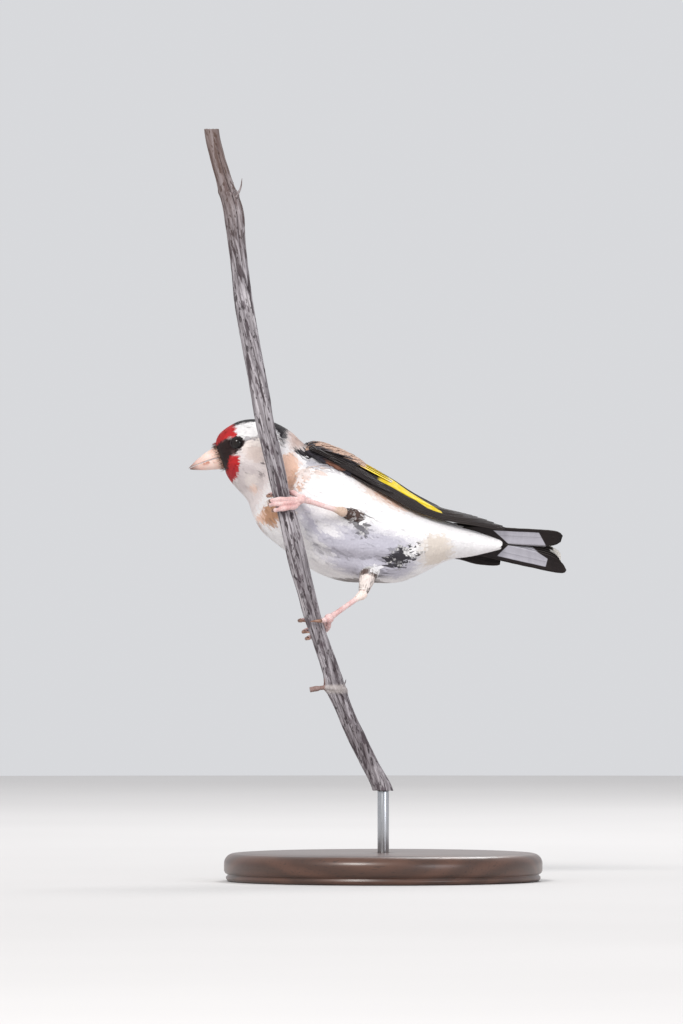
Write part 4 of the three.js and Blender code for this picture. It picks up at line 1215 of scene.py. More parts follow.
def wing_vanes(side, seed):
    rng = np.random.default_rng(seed)
    vanes = Vanes()
    for kind, count, roots, tips, lifts, halves, tilt, blunt in WING_TIERS:
        for i in range(count):
            t = i / (count - 1)
            root = spread(roots, t)
            tip = spread(tips, t) + [rng.uniform(-0.4, 0.4), rng.uniform(-0.15, 0.15)]
            lift = float(spread(lifts, t))

            def place_at(s, across, rise, root=root, tip=tip, lift=lift):
                along = root[0] + (tip[0] - root[0]) * s
                middle = root[1] + (tip[1] - root[1]) * s
                points = wing_place(side, along, middle + across, lift + rise - 0.35 * s)
                return points, np.column_stack([along, middle + across, 0 * s])

            length = tip[0] - root[0]
            rows = 30 if length > 24 else 18
            vanes.add(place_at, length, float(spread(halves, t)), rows, 0.7, tilt, 0.32, kind, rng, blunt)
    return vanes


WING_SIDES = {"left": 1, "right": -1}
wings = {name: wing_vanes(side, 11).piece("wing_feathers_" + name) for name, side in WING_SIDES.items()}
print("feathers in a wing:", sum(tier[1] for tier in WING_TIERS))

# %% [markdown]
# ## The shoulder under the small coverts
# The arm of a folded wing is a rounded pad covered in small scale-like feathers, black on a goldfinch. Over
# its upper side lie the brown feathers of the shoulder, which cover the join between wing and back. The pad
# is lofted on the same sheet as the long feathers. It is then a second skin, on which the coat's own tree
# grows the small feathers.

# %% Pad and its small feathers
ARM_START = 0.2
ARM_LENGTH = 24.4
ARM_MIDDLE = 10.8
ARM_HALF = 10.6


def arm_lift(t, c):
    fullness = np.sqrt(np.maximum(0.05, 1 - (2 * t - 1) ** 4)) * np.minimum(1, 0.55 + 1.5 * t)
    return 0.5 + 2.1 * fullness * np.sqrt(1 - c * c * 0.98)


def shoulder_pad(name, side):
    rows, columns = 40, 42
    t, c = np.meshgrid(np.linspace(0, 1, rows), np.linspace(-1, 1, columns), indexing="ij")
    front = np.clip(0.45 - t, 0, 1) / 0.46
    along = ARM_START + ARM_LENGTH * t
    across = ARM_MIDDLE + ARM_HALF * np.sqrt(1 - front ** 2) * c

    def sheet_at(ahead, lift):
        return wing_place(side, along + ahead, across, lift).reshape(rows, columns, 3)

    upper = sheet_at(0, arm_lift(t, c))
    lower = sheet_at(0, 0.15 + 0 * t)[:, -2:0:-1]
    points = np.concatenate([upper, lower], axis=1).reshape(-1, 3)
    ring = 2 * columns - 2
    pad = new_piece(name, points, tube_faces(rows, ring))
    lie = unit(sheet_at(0.5, arm_lift(t, c)) - upper)
    where, spots = np.zeros((2, rows, ring, 3))
    where[:, :columns, 0] = along
    where[:, :columns, 1] = across
    spots[..., 0] = 0.02 + 0.9 * np.arange(rows)[:, None] / rows
    spots[..., 1] = 0.02 + 0.9 * np.arange(ring)[None] / ring
    outer = np.zeros((rows, ring), bool)
    outer[1:-1, 1:columns - 1] = True
    mesh = pad.data
    store(mesh, "lie", np.concatenate([lie, np.tile([[[1, 0, 0]]], (rows, columns - 2, 1))], axis=1))
    store(mesh, "root", points)
    store(mesh, "where", where)
    store(mesh, "root_uv", spots)
    store(mesh, "out", read_vectors(mesh, "normal"))
    store_unwrap(mesh, spots.reshape(-1, 3))
    return pad, where[..., 0].ravel(), where[..., 1].ravel(), outer.ravel()


def cover_shoulder(name, side):
    pad, along, across, outer = shoulder_pad("shoulder_pad_" + name, side)
    brown = across - 0.14 * along > 2.8
    store(pad.data, "length", np.where(brown, 5, 3.2 + 0.05 * along), "FLOAT")
    store(pad.data, "depth", np.where(brown, 1.4, 0.55), "FLOAT")
    for kind, mask, slot, spacing, width, disorder, seed in (
            ("lesser_coverts_", outer & ~brown & (along < 19), "flight_feathers", 0.8, 1.25, 0.2, 31),
            ("scapulars_", outer & brown & (along < 20.5), "body_feathers", 0.85, 1.1, 0.15, 32)):
        cover = grow_coat(kind + name, pad, mask, sleek, covert_coat, spacing, width, disorder, seed)
        finish_piece(cover, covert_coat, slot)
    finish_piece(pad, covert_skin, "flight_feathers")

# %% [markdown]
# ## The wing's colours
# A goldfinch's wing is black with one broad yellow bar, made of the yellow tips of the greater coverts and
# the yellow outer vanes of the long feathers behind them. It crosses many feathers, so it is drawn in the
# wing's own plane, between two lines, and only on the kinds that have it. The inner long feathers have pale
# tips, and every black feather has a thin edge that wear has bleached.

# %% Finish of the flight feathers
FEATHER_BLACK = "191518"
WORN_BLACK = "2b2321"
YELLOW = "f2d51c"
PALE_YELLOW = "f8e98c"
PEACH_YELLOW = "efc58c"
EDGE = "8f8780"
TIP_WHITE = "f1ede6"


# The bar's two edges: share of the way from 20 to 50 mm along the wing, and tenths of the way across
BAR_UPPER = [(0, 0.95), (0.42, 0.95), (0.50, 0.82), (0.70, 0.64), (0.83, 0.44), (0.96, 0.24), (1, 0.06)]
BAR_LOWER = [(0, 0.36), (0.68, 0.34), (0.80, 0.20), (1, 0.16)]


class VaneFinish(Finish):
    """Black of a flight feather, and the measures that its marks are drawn from."""

    def __init__(self, name, wear_scale):
        super().__init__(name, 0.6, Specular_IOR_Level=0.22)
        self.measure = self.read("measure")
        self.u, self.along, self.to_tip = self.parts(self.measure)
        self.kind, _, self.across = self.parts("kind")
        self.worn = self.noise(self.measure, wear_scale)
        self.shade = self.mix(self.worn, FEATHER_BLACK, WORN_BLACK)
        # Fine slanting lines of the barbs, leaning towards the tip on both sides of the shaft
        slant = self.node("ShaderNodeCombineXYZ",
                          X=self.plus(self.times(self.size(self.across), -1.1), self.along))
        self.lines = self.node("ShaderNodeTexWave", {"bands_direction": "X"}, Vector=slant, Scale=1.15,
                               Distortion=0.6, Detail=2).outputs["Fac"]
        self.bump(self.lines, 0.35, 0.06)

    def kind_is(self, number):
        return self.math("LESS_THAN", self.size(self.minus(self.kind, float(number))), 0.5)

    def rim(self, low, high):
        return self.step(self.size(self.u), low, high)


def wing_finish():
    net = VaneFinish("wing feathers", 0.35)
    net.lay(net.lines, "332c2c", 0.3)

    # Pale worn edges, widest near the tips
    long_kind = net.math("LESS_THAN", net.kind, 2.5)
    net.lay(net.times(net.rim(0.86, 0.98), net.math("MULTIPLY_ADD", long_kind, 0.12, 0.1)), EDGE)
    inner_kind = net.minus(long_kind, net.kind_is(PRIMARY))
    net.lay(net.times(net.step(net.to_tip, 1.5, 0.5), inner_kind), TIP_WHITE, 0.75)

    # The yellow bar
    along, across, _ = net.parts("sheet")
    far = net.plus(along, net.times(net.noise(net.measure, 0.9, 2), 1.2))
    inward = net.times(across, 0.1)
    share = net.step(along, 20, 50, kind="LINEAR")
    below_upper = net.step(net.minus(net.ramp(share, *BAR_UPPER), inward), -0.02, 0.02)
    above_lower = net.step(net.minus(inward, net.ramp(share, *BAR_LOWER)), -0.015, 0.015)
    long_bar = net.times(net.math("LESS_THAN", net.kind, 1.5), below_upper, above_lower,
                         net.step(far, 28.5, 30))
    covert_tip = net.times(net.kind_is(GREATER_COVERT), net.step(far, 21.4, 22.4))
    gold = net.mix(net.step(net.worn, 0.4, 0.75, 0, 0.6), YELLOW, PALE_YELLOW)
    gold = net.mix(net.step(far, 26.5, 23), gold, PEACH_YELLOW)
    gold = net.mix(net.times(covert_tip, net.step(net.to_tip, 1.6, 0.5)), gold, TIP_WHITE)
    gold = net.mix(net.times(net.lines, 0.2), gold, "c9a81c")
    net.lay(net.either(long_bar, covert_tip), gold)
    net.lay(net.step(net.size(net.across), 0.16, 0.08), "120f10", 0.6)
    return net.done()


# %% Finish of the small coverts and the brown shoulder
def covert_finish(name, on_feathers):
    net = Finish(name, 0.75, Sheen_Weight=0.15, Specular_IOR_Level=0.3)
    along, across, _ = net.parts("where")
    worn = net.noise(net.read("mark" if on_feathers else "root"), 0.7)
    rough = net.times(net.minus(worn, 0.5), 3)
    net.shade = net.mix(worn, "201d22", "3b3740")
    net.lay(net.times(net.step(net.plus(across, rough), 1.8, 0.8), net.step(along, 11.5, 12.5),
                      net.step(along, 18.5, 17)), "7b5140")
    brown = net.mix(net.step(across, 9, 14), "c3a18c", "8d6c52")
    brown = net.mix(net.step(worn, 0.5, 0.8, 0, 0.7), brown, "6a5142")
    slope = net.minus(across, net.times(along, 0.14))
    net.lay(net.step(net.plus(slope, net.times(rough, 0.2)), 2.5, 3.1), brown)
    if on_feathers:
        blade = net.read("blade")
        dim = net.mix(1, net.shade, (0.72, 0.70, 0.70, 1), "MULTIPLY")
        net.lay(net.step(net.read("shade", "Fac"), 0, 1, 0, 0.5), dim)
        net.lay(net.step(net.parts(blade)["Y"], 0.7, 0.3), dim)
        net.bump(net.noise(blade, 40, 2, stretch=(1, 0.12, 1)), 0.4, 0.05)
    return net.done()


wing_coat = wing_finish()
covert_coat = covert_finish("small coverts", True)
covert_skin = covert_finish("shoulder down", False)
for name, side in WING_SIDES.items():
    cover_shoulder(name, side)
    finish_piece(wings[name], wing_coat, "flight_feathers", "wing_" + name)

# %% [markdown]
# ## The tail
# Twelve feathers in six pairs make the notched tail. The middle pair lies on top and the outer pairs lie
# lower and reach farther. From above it is black with white tips. The viewer sees it from below, where the
# inner vanes have white panels between black edges, painted pale grey for the shade they lie in.

# %% Tail feathers
TAIL_ROOT = np.array([19, 23.3, 109])
TAIL_HEADING = unit(np.array([0.988, 0.02, -0.14]))
TAIL_LENGTHS = {1: 37.4, -1: 39.8}
TAIL_FORK = 4
# One inner feather reaches farther, and its white tip shows in the notch
NOTCH_TIP = 1.8
TAIL_HALF_WIDTH = 3.1
TAIL_SLANT = {1: 0.15, -1: 0.75}
# Each upper tail covert: length, place across at its root and at its tip
TAIL_COVERTS = [(24, 1.5, 3.6), (23, -1.5, -3.6), (21, 0.8, 2.2), (20, -0.8, -2), (18, 0, 0.2)]


def tail_place(along, across, lift):
    upright = unit(np.array([-TAIL_HEADING[2], 0, TAIL_HEADING[0]]))
    left, back = rolled_axes(upright)
    return (TAIL_ROOT + TAIL_HEADING * np.asarray(along)[:, None] + left * np.asarray(across)[:, None]
            + back * np.asarray(lift)[:, None])


def tail_vanes():
    rng = np.random.default_rng(5)
    vanes = Vanes()
    for pair in range(6):
        outer = pair / 5
        for side in (-1, 1):
            length = TAIL_LENGTHS[side] - TAIL_FORK * (1 - outer) + rng.uniform(-0.4, 0.3)
            length += NOTCH_TIP if pair == 1 and side < 0 else 0

            def place_at(s, across, rise):
                middle = 0.5 + 0.5 * outer + (1.7 + 2.1 * outer) * s
                slant = TAIL_SLANT[side] * outer * across * np.clip((s - 0.6) / 0.4, 0, 1)
                along = length * s + slant
                sheet = np.column_stack([np.full(len(s), side), middle + across, along])
                return tail_place(along, side * (middle + across), 1.35 - 2.6 * outer + rise), sheet

            vanes.add(place_at, length, TAIL_HALF_WIDTH, 30, 0.86, -0.05, 0.3, pair, rng, 0.7)
    return vanes


def covert_vanes():
    """Dark feathers over the tail's root, which show along its upper edge."""
    rng = np.random.default_rng(9)
    vanes = Vanes()
    for reach, start, end in TAIL_COVERTS:
        def place_at(s, across, rise):
            middle = start + (end - start) * s
            return tail_place(reach * s - 4, middle + across, 2.1 - 1.0 * s + rise), np.zeros((len(s), 3))

        vanes.add(place_at, reach, 1.5, 16, 0.7, -0.1, 0.3, 0, rng, 0.7)
    return vanes


# %% Finish of the tail
# The white panels of the inner vanes as seen from below, on the left and the right half of the tail,
# painted pale grey for the shade they lie in. Each line that bounds one: its slope, where it starts at the
# tail's middle, and whether the panel is before it
PANELS = {
    "GREATER_THAN": [(-1.32, 21.2, False), (-0.66, 33.6, True)],
    "LESS_THAN": [(-0.69, 21, False), (-0.1, 34.1, True), (1.82, 28.15, True)],
}


def white_panels(net):
    side, across, along = net.parts("sheet")
    panels = []
    for half, lines in PANELS.items():
        masks = []
        for slope, start, before in lines:
            ends = (start + 0.15, start - 0.15) if before else (start - 0.15, start + 0.15)
            masks.append(net.step(net.minus(along, net.times(across, slope)), *ends))
        panels.append(net.times(*masks, net.math(half, side, 0)))
    return net.times(net.either(*panels), net.step(across, 0.15, 0.4))


def tail_finish():
    net = VaneFinish("tail feathers", 0.4)
    inner_vane = net.times(net.step(net.u, 0.60, 0.52), net.step(net.kind, 1.6, 2.4))
    # The inner vanes' white panels, painted pale grey for the shade they lie in as seen from below
    grey = net.mix(net.worn, "a9a7b0", "c9c7cf")
    grey = net.mix(net.times(net.lines, 0.25), grey, "8c8991")
    net.lay(net.times(inner_vane, white_panels(net)), grey)
    net.lay(net.times(net.step(net.to_tip, 3, 2.4), net.step(net.kind, 2.6, 1.8)), TIP_WHITE)
    net.lay(net.rim(0.88, 0.99), EDGE, 0.15)
    net.lay(net.step(net.size(net.across), 0.2, 0.1, 0, 0.2), "1c181a")
    return net.done()


tail_coat = tail_finish()
finish_piece(tail_vanes().piece("tail_feathers"), tail_coat, "flight_feathers", "tail")
finish_piece(covert_vanes().piece("upper_tail_coverts"), tail_coat, "flight_feathers")

# %% [markdown]
# ## Bill, eyes and bristles
# A goldfinch's bill is a fine cone of horn: ivory to pink, darker at its tip and along its ridge. Each half
# is a closed loft between its outer line and the line of the mouth. The eye is a glossy brown-black ball
# with a thin dark ring of bare skin round it. A few stiff bristles point forward over the base of the bill
# and hide the join.

# %% The two halves of the bill
BILL_Y = 13.8
BILL_HALF_WIDTH = 3.3
# Each line: base x and z, tip x and z, arch
CULMEN = (-53.2, 136.3, -61.4, 129.5, 0.45)
MOUTH = (-51.7, 133, -61.1, 129.6, 0.25)
BILL_UNDER = (-50.1, 129.6, -60.7, 129.25, -0.3)
NOSTRIL = (-53.6, 134.9, 0.5)


def bill_line(line, t):
    base_x, base_z, tip_x, tip_z, arch = line
    rise = arch * 4 * t * (1 - t)
    return base_x + (tip_x - base_x) * t - rise * 0.6, base_z + (tip_z - base_z) * t + rise


def bill_half(name, outer, mouth_shift, end_at):
    rows, arch_points = 44, 26
    points, measures = [], []
    for t in np.linspace(-0.06, 1, rows) * end_at:
        edge_x, edge_z = bill_line(outer, t)
        inner_x, inner_z = bill_line(MOUTH, t)
        wide = BILL_HALF_WIDTH * max(1 - t, 0) ** 0.8 + 0.06
        for turn in np.linspace(0, math.pi, arch_points):
            lift = math.sin(turn) ** 0.92
            x = inner_x + (edge_x - inner_x) * lift
            z = inner_z + mouth_shift + (edge_z - inner_z - mouth_shift) * lift
            y = wide * math.cos(turn) * (1 - 0.05 * (1 - lift))
            points.append((x, BILL_Y + y, z))
            measures.append((t, lift, y))
    piece = new_piece(name, points, tube_faces(rows, arch_points))
    store(piece.data, "measure", measures)
    if mouth_shift > 0:
        dent_nostrils(piece)
    return piece


def dent_nostrils(piece):
    points = read_vectors(piece.data) / MM
    x, z, radius = NOSTRIL
    away = np.hypot(points[:, 0] - x, points[:, 2] - z)
    points[:, 1] -= 0.45 * np.exp(-(away / radius) ** 2) * np.sign(points[:, 1] - BILL_Y)
    move_points(piece.data, points)


def bill_material():
    net = Finish("bill horn", 0.38, Specular_IOR_Level=0.45, Subsurface_Weight=0.25,
                 Subsurface_Scale=0.0012, Subsurface_Radius=(1, 0.5, 0.35))
    t, lift, _ = net.parts("measure")
    place = net.spot()
    along = net.plus(t, net.times(net.noise(place, 420), 0.14))
    net.shade = net.ramp(along, (0.05, "d9b3a2"), (0.35, "eed6cb"), (0.75, "dcb9ae"), (1, "7d6159"))
    # The dark ridge, the stained cutting edge and the line of the mouth
    net.lay(net.times(net.step(lift, 0.93, 1), net.step(along, 0.2, 0.8)), "8a6a60", 0.45)
    mid_way = net.times(net.step(t, 0.12, 0.2), net.step(t, 0.62, 0.5))
    stain = net.times(net.step(net.noise(place, 900, 2), 0.50, 0.62), net.step(lift, 0.55, 0.05), mid_way)
    net.lay(stain, "b3603f", 0.85)
    net.lay(net.step(lift, 0.06, 0.01), "8a5a4e", 0.6)
    net.bump(net.noise(net.read("measure"), 9, 2, stretch=(0.6, 4, 1)), 0.25, 0.06)
    return net.done()


bill_finish = bill_material()
finish_piece(bill_half("bill_upper_half", CULMEN, 0.1, 0.995), bill_finish, "bill", "bill_upper")
finish_piece(bill_half("bill_lower_half", BILL_UNDER, -0.1, 0.99), bill_finish, "bill", "bill_lower")


# %% Eyes and the rings round them
def eye_ball(name, centre):
    work = bmesh.new()
    bmesh.ops.create_uvsphere(work, u_segments=40, v_segments=28, radius=EYE_RADIUS * MM)
    bmesh.ops.translate(work, verts=work.verts, vec=Vector(centre * MM))
    mesh = bpy.data.meshes.new(name)
    work.to_mesh(mesh)
    work.free()
    mesh.shade_smooth()
    return in_scene(bpy.data.objects.new(name, mesh))


def eye_ring(name, centre, side):
    """Bare skin round the eye, a ring of small lobes."""
    rows, sides = 72, 12
    points = []
    for turn in round_turns(rows):
        lobe = 1 + 0.10 * math.sin(turn * 17)
        out = np.array([math.cos(turn) * 1.12, 0, math.sin(turn) * 0.96])
        middle = centre + out * 1.92 + np.array([0, side * 0.72, 0])
        for roll in round_turns(sides):
            around = out * math.cos(roll) + np.array([0, side, 0]) * math.sin(roll)
            points.append(middle + around * 0.22 * lobe)
    faces = grid_faces(rows, sides)
    last = (rows - 1) * sides
    faces += [(last + k, last + (k + 1) % sides, (k + 1) % sides, k) for k in range(sides)]
    return new_piece(name, points, faces)


eye_finish = clouded("eye", 0.06, 500, 2, (0.35, "070505"), (0.75, "1c110c"),
                     Specular_IOR_Level=0.3, Coat_Weight=0.15, Coat_Roughness=0.02)
ring_finish = clouded("eye ring skin", 0.55, 2500, 3, (0.3, "171214"), (0.7, "2e2628"),
                      bump=(0.5, 0.05), Specular_IOR_Level=0.35)
for name, side, centre in (("left", -1, EYES[0]), ("right", 1, EYES[1])):
    finish_piece(eye_ball("eyeball_" + name, centre), eye_finish, "eye", "eye_" + name)
    finish_piece(eye_ring("eye_ring_" + name, centre, side), ring_finish, "face_feathers")


# %% Bristles over the base of the bill
def bristle_material():
    net = Finish("bristles", 0.6, Specular_IOR_Level=0.3)
    dark = net.mix(net.noise(net.spot(), 900, 2), "3a2b28", "7d5f50")
    net.shade = net.mix(net.step(net.parts(net.spot())["Z"], 0.1365, 0.1378), dark, DARK_RED)
    return net.done()


def bristles():
    rng = np.random.default_rng(12)
    points, faces = [], []
    for _ in range(150):
        turn = math.radians(rng.uniform(-150, 150))
        place = rng.uniform(0.1, 0.55)
        root = body_point(np.array([place]), np.array([turn]), -0.3)[0]
        out = unit(root - body_frame(np.array([place]))[0][0])
        ahead = unit(np.array([-0.9, 0, -0.42]) + out * rng.uniform(0.05, 0.35) + rng.normal(0, 0.06, 3))
        length = rng.uniform(1, 2.1)
        across = unit(np.cross(ahead, out))
        up = np.cross(across, ahead)
        start = len(points)
        for s, wide in ((0, 0.07), (0.5, 0.05)):
            middle = root + ahead * length * s - out * 0.25 * s * s
            for roll in round_turns(3):
                points.append(middle + (across * math.cos(roll) + up * math.sin(roll)) * wide)
        points.append(root + ahead * length - out * 0.3)
        faces.append((start, start + 2, start + 1))
        for k in range(3):
            b = (k + 1) % 3
            faces.append((start + k, start + b, start + 3 + b, start + 3 + k))
            faces.append((start + 3 + k, start + 3 + b, start + 6))
    return new_piece("bristles", points, faces)


finish_piece(bristles(), bristle_material(), "face_feathers")

# %% [markdown]
# ## Legs, toes and claws
# The bird holds the stem with both feet, its left one high up beside the breast. Three toes go round the
# front of the stem and the hind toe round its back. Bare legs have a row of plates down the front and rings
# of scales over the toes. The plates are raised in the mesh itself, and a voxel remesh melts toes and pad
# into one foot.

# %% The stem's line, which the toes follow
# Columns: height, x, width
STEM = np.array([
    [28.4, 0, 6.6], [37.2, -4.4, 6.1], [46.6, -8.9, 6.2], [53.2, -11.9, 5.8], [60.2, -14.9, 6.5],
    [65.8, -16.4, 5.9], [75.3, -19.6, 5.4], [82.5, -22.1, 5.6], [89.8, -24, 5.8], [97, -26, 6.3],
    [104.3, -27.7, 6.5], [113.4, -29.8, 6], [120.6, -31.8, 5.5], [125.7, -32.9, 5.7], [135.1, -35, 6],
    [144.6, -37.3, 5.9], [154.4, -38.9, 6], [168, -41.4, 6], [181.8, -43.8, 6], [191.5, -45, 5.6],
    [201, -46.1, 5.7], [210.7, -47.1, 6.5], [220.2, -50, 5.3], [228.4, -52.4, 4.9], [236.2, -53.9, 4.7],
])


def stem_at(z):
    """The stem's middle, its radius and its slant at heights z."""
    z = np.atleast_1d(np.asarray(z, float))
    low = np.clip(np.searchsorted(STEM[:, 0], z, side="left") - 1, 0, len(STEM) - 2)
    t = (z - STEM[low, 0]) / (STEM[low + 1, 0] - STEM[low, 0])
    at = at_stations(STEM, low + t)
    lean = (STEM[low + 1, 1] - STEM[low, 1]) / (STEM[low + 1, 0] - STEM[low, 0])
    return at[:, 1], at[:, 2] / 2, np.cos(np.arctan(lean))


def round_stem(z, turn_degrees, clear):
    """Point round the stem. The turn is 0 on its right, 90 behind it and 270 in front."""
    x, radius, slant = stem_at(z)
    turn = math.radians(turn_degrees)
    reach = radius[0] + clear / slant[0]
    return np.array([x[0] + math.cos(turn) * reach, math.sin(turn) * reach, z])


# %% Smooth paths and tubes
def way_along(path):
    """How far along a path each of its points is."""
    return np.concatenate([[0], np.cumsum(np.linalg.norm(np.diff(path, axis=0), axis=1))])


def smooth_path(points, steps):
    """Even steps along a centripetal curve through the points."""
    points = np.asarray(points, float)
    ends = np.vstack([2 * points[0] - points[1], points, 2 * points[-1] - points[-2]])
    fine = []
    for i in range(1, len(ends) - 2):
        p0, p1, p2, p3 = ends[i - 1:i + 3]
        d = [max(np.linalg.norm(b - a) ** 0.5, 1e-4) for a, b in ((p0, p1), (p1, p2), (p2, p3))]
        t1 = (p1 - p0) / d[0] - (p2 - p0) / (d[0] + d[1]) + (p2 - p1) / d[1]
        t2 = (p2 - p1) / d[1] - (p3 - p1) / (d[1] + d[2]) + (p3 - p2) / d[2]
        t1, t2 = t1 * d[1], t2 * d[1]
        for t in np.linspace(0, 1, 40, endpoint=i == len(ends) - 3):
            fine.append(p1 + t1 * t + (-3 * p1 + 3 * p2 - 2 * t1 - t2) * t * t
                        + (2 * p1 - 2 * p2 + t1 + t2) * t ** 3)
    fine = np.array(fine)
    gone = way_along(fine)
    even = np.linspace(0, gone[-1], steps)
    return np.column_stack([np.interp(even, gone, fine[:, k]) for k in range(3)])


def path_frames(path, first_side):
    """Side and upper directions along a path, carried on without twisting."""
    heading = unit(np.gradient(path, axis=0))
    side = unit(np.cross(heading[0], first_side))
    sides = []
    for direction in heading:
        side = unit(side - direction * (side @ direction))
        sides.append(side)
    sides = np.array(sides)
    return sides, np.cross(heading, sides)


def scaled_tube(path, radius_at, sides, plates=0, plate_length=0.8, outward_from=None):
    """Tube along a path. Plates are rings raised on the side that faces away from a line of points."""
    steps = len(path)
    right, up = path_frames(path, np.array([0.21, 0.34, 0.92]))
    gone = way_along(path)
    points = []
    for i in range(steps):
        saw = (gone[i] / plate_length) % 1
        step = (1 - saw) ** 0.6 - 0.5
        for turn in round_turns(sides):
            out = right[i] * math.cos(turn) + up[i] * math.sin(turn)
            facing = 0
            if outward_from is not None:
                facing = max(0, float(out @ unit(path[i] - outward_from[i]))) ** 0.5
            points.append(path[i] + out * (radius_at(i / (steps - 1)) + plates * step * facing))
    return points, tube_faces(steps, sides)


def ball_part(centre, radius):
    work = bmesh.new()
    bmesh.ops.create_icosphere(work, subdivisions=4, radius=1)
    points = [centre + np.array(v.co) * radius for v in work.verts]
    faces = [tuple(v.index for v in f.verts) for f in work.faces]
    work.free()
    return points, faces


# %% The two feet
PADS = {"left": np.array([-25.6, -2.4, 120]), "right": np.array([-17, -0.6, 82.5])}
# Each toe: turns round the stem, and heights, at its four joints
TOES = {
    "left": {
        "hind": ([20, 75, 125, 168], [121.8, 122, 121.6, 121]),
        "inner": ([-40, -80, -115, -150], [119.8, 119.9, 119.8, 119.4]),
        "middle": ([-40, -85, -130, -172], [118.8, 118.6, 118.4, 118.2]),
        "outer": ([-35, -75, -110, -145], [117.8, 117.2, 116.8, 116.4]),
    },
    "right": {
        "hind": ([-18, -32, -46, -58], [82.2, 82, 81.9, 81.8]),
        "inner": ([36, 82, 130, 174], [81.7, 82, 82, 81.8]),
        "middle": ([32, 80, 132, 176], [80.7, 79.8, 78.9, 78.3]),
        "outer": ([24, 66, 112, 158], [79.9, 78.2, 77, 76.2]),
    },
}
TOE_RADIUS = 1
TOE_TIP_RADIUS = 0.72
TARSUS_RADIUS = 0.8
PAD_RADIUS = 1.55
CLAW_BASE_RADIUS = 0.58
CLAW_TURN = 42
GAP = 0.3


def toe_points(side, toe):
    turns, heights = TOES[side][toe]
    clear = 1.05 + GAP + 0.1
    return [PADS[side]] + [round_stem(z, turn, clear) for turn, z in zip(turns, heights)]


def stem_middle(path):
    x, _, _ = stem_at(path[:, 2])
    return np.column_stack([x, np.zeros(len(path)), path[:, 2]])


def toe_part(side, toe):
    path = smooth_path(toe_points(side, toe), 110)

    def thickness(t):
        joint = 0.09 * math.cos(t * 3 * 2 * math.pi)
        round_end = math.sqrt(max(0.05, 1 - max(0, (t - 0.95) / 0.05) ** 2))
        return (TOE_RADIUS + (TOE_TIP_RADIUS - TOE_RADIUS) * t) * (0.93 + joint) * round_end

    return scaled_tube(path, thickness, 16, plates=0.16, plate_length=0.85, outward_from=stem_middle(path))


def foot(side):
    parts = [toe_part(side, toe) for toe in TOES[side]]
    parts.append(ball_part(PADS[side], PAD_RADIUS))
    piece = new_piece("foot_skin_" + side, *joined_parts(parts))
    return melted(piece, 0.13, 1)


def tarsus(side):
    along = unit(PADS[side] - HEELS[side])
    start = HEELS[side] - along * HEEL_RADIUS * 0.9
    end = PADS[side] - along * (PAD_RADIUS * 0.55)
    path = smooth_path([start, (start * 2 + end) / 3, (start + end * 2) / 3, end], 120)

    def thickness(t):
        heel = math.exp(-((t - 0.11) / 0.12) ** 2)
        ankle = math.exp(-((t - 1) / 0.12) ** 2)
        return (TARSUS_RADIUS + (HEEL_RADIUS - TARSUS_RADIUS) * heel + 0.25 * ankle) * min(1, 0.45 + 14 * t)

    behind = path + np.array([0.5, 1, -0.6])
    points, faces = scaled_tube(path, thickness, 20, plates=0.12, plate_length=1.5, outward_from=behind)
    return new_piece("tarsus_skin_" + side, points, faces)


def claw(side, toe):
    turns, heights = TOES[side][toe]
    line = smooth_path(toe_points(side, toe), 60)
    end = line[-1]
    heading = unit(line[-1] - line[-2])
    spin = np.sign(turns[-1] - turns[-2])
    points = [end - heading * 0.35, end + heading * (GAP + 0.1)]
    for t in (0.5, 1):
        turn = turns[-1] + spin * (8 + CLAW_TURN * t)
        points.append(round_stem(end[2] - 0.25 * t, turn, 1.35 + (0.7 - 1.35) * t))
    path = smooth_path(points, 28)
    tube, faces = scaled_tube(path, lambda t: CLAW_BASE_RADIUS * (1 - t) ** 0.75 + 0.07, 14)
    return new_piece("claw_horn_" + toe + "_" + side, tube, faces)


# %% Finish of bare skin and horn
HEEL_TINTS = {"left": "cfb7a4", "right": "f7e8df"}


def leg_material():
    net = Finish("leg skin", 0.5, Specular_IOR_Level=0.4, Subsurface_Weight=0.12, Subsurface_Scale=0.001,
                 Subsurface_Radius=(1, 0.6, 0.5))
    place = net.spot()
    blotch = net.noise(place, 260)
    net.shade = net.ramp(blotch, (0.3, "cf9f9c"), (0.5, "e6c3c0"), (0.75, "f2dedb"))
    for side, tint in HEEL_TINTS.items():
        away = net.vector("DISTANCE", place, tuple(float(v) * MM for v in HEELS[side]))
        near = net.step(net.plus(away, net.times(blotch, 0.002)), 0.0058, 0.0034)
        net.lay(near, tint)
        net.lay(net.times(near, net.step(net.noise(place, 700, 2), 0.58, 0.68)), "a57c66", 0.5)
    scales = net.node("ShaderNodeTexVoronoi", {"feature": "DISTANCE_TO_EDGE"}, Vector=place, Scale=1500)
    net.lay(net.step(scales.outputs["Distance"], 0.10, 0), "9c635c", 0.35)
    net.bump(scales.outputs["Distance"], 0.5, 0.06)
    return net.done()


leg_finish = leg_material()
claw_finish = clouded("claw horn", 0.32, 500, 3, (0.3, "5f4338"), (0.7, "a87f6a"),
                      bump=(0.2, 0.04), Specular_IOR_Level=0.5)
for side in TOES:
    finish_piece(foot(side), leg_finish, "leg_skin", "foot_" + side)
    finish_piece(tarsus(side), leg_finish, "leg_skin", "tarsus_" + side)
    for toe in TOES[side]:
        finish_piece(claw(side, toe), claw_finish, "claw", "claw_" + toe + "_" + side)

# %% [markdown]
# ## The dry stem
# The perch is a cut length of last year's stem, bleached grey with a touch of lilac. Weather has opened
# cracks along it and left dark streaks. It thickens at two nodes, where side shoots grew: the upper one has
# a splinter, the lower one a pale raised ring and a stub. The large forms and deep cracks are in the mesh,
# and the hair-fine grain is left to the finish.

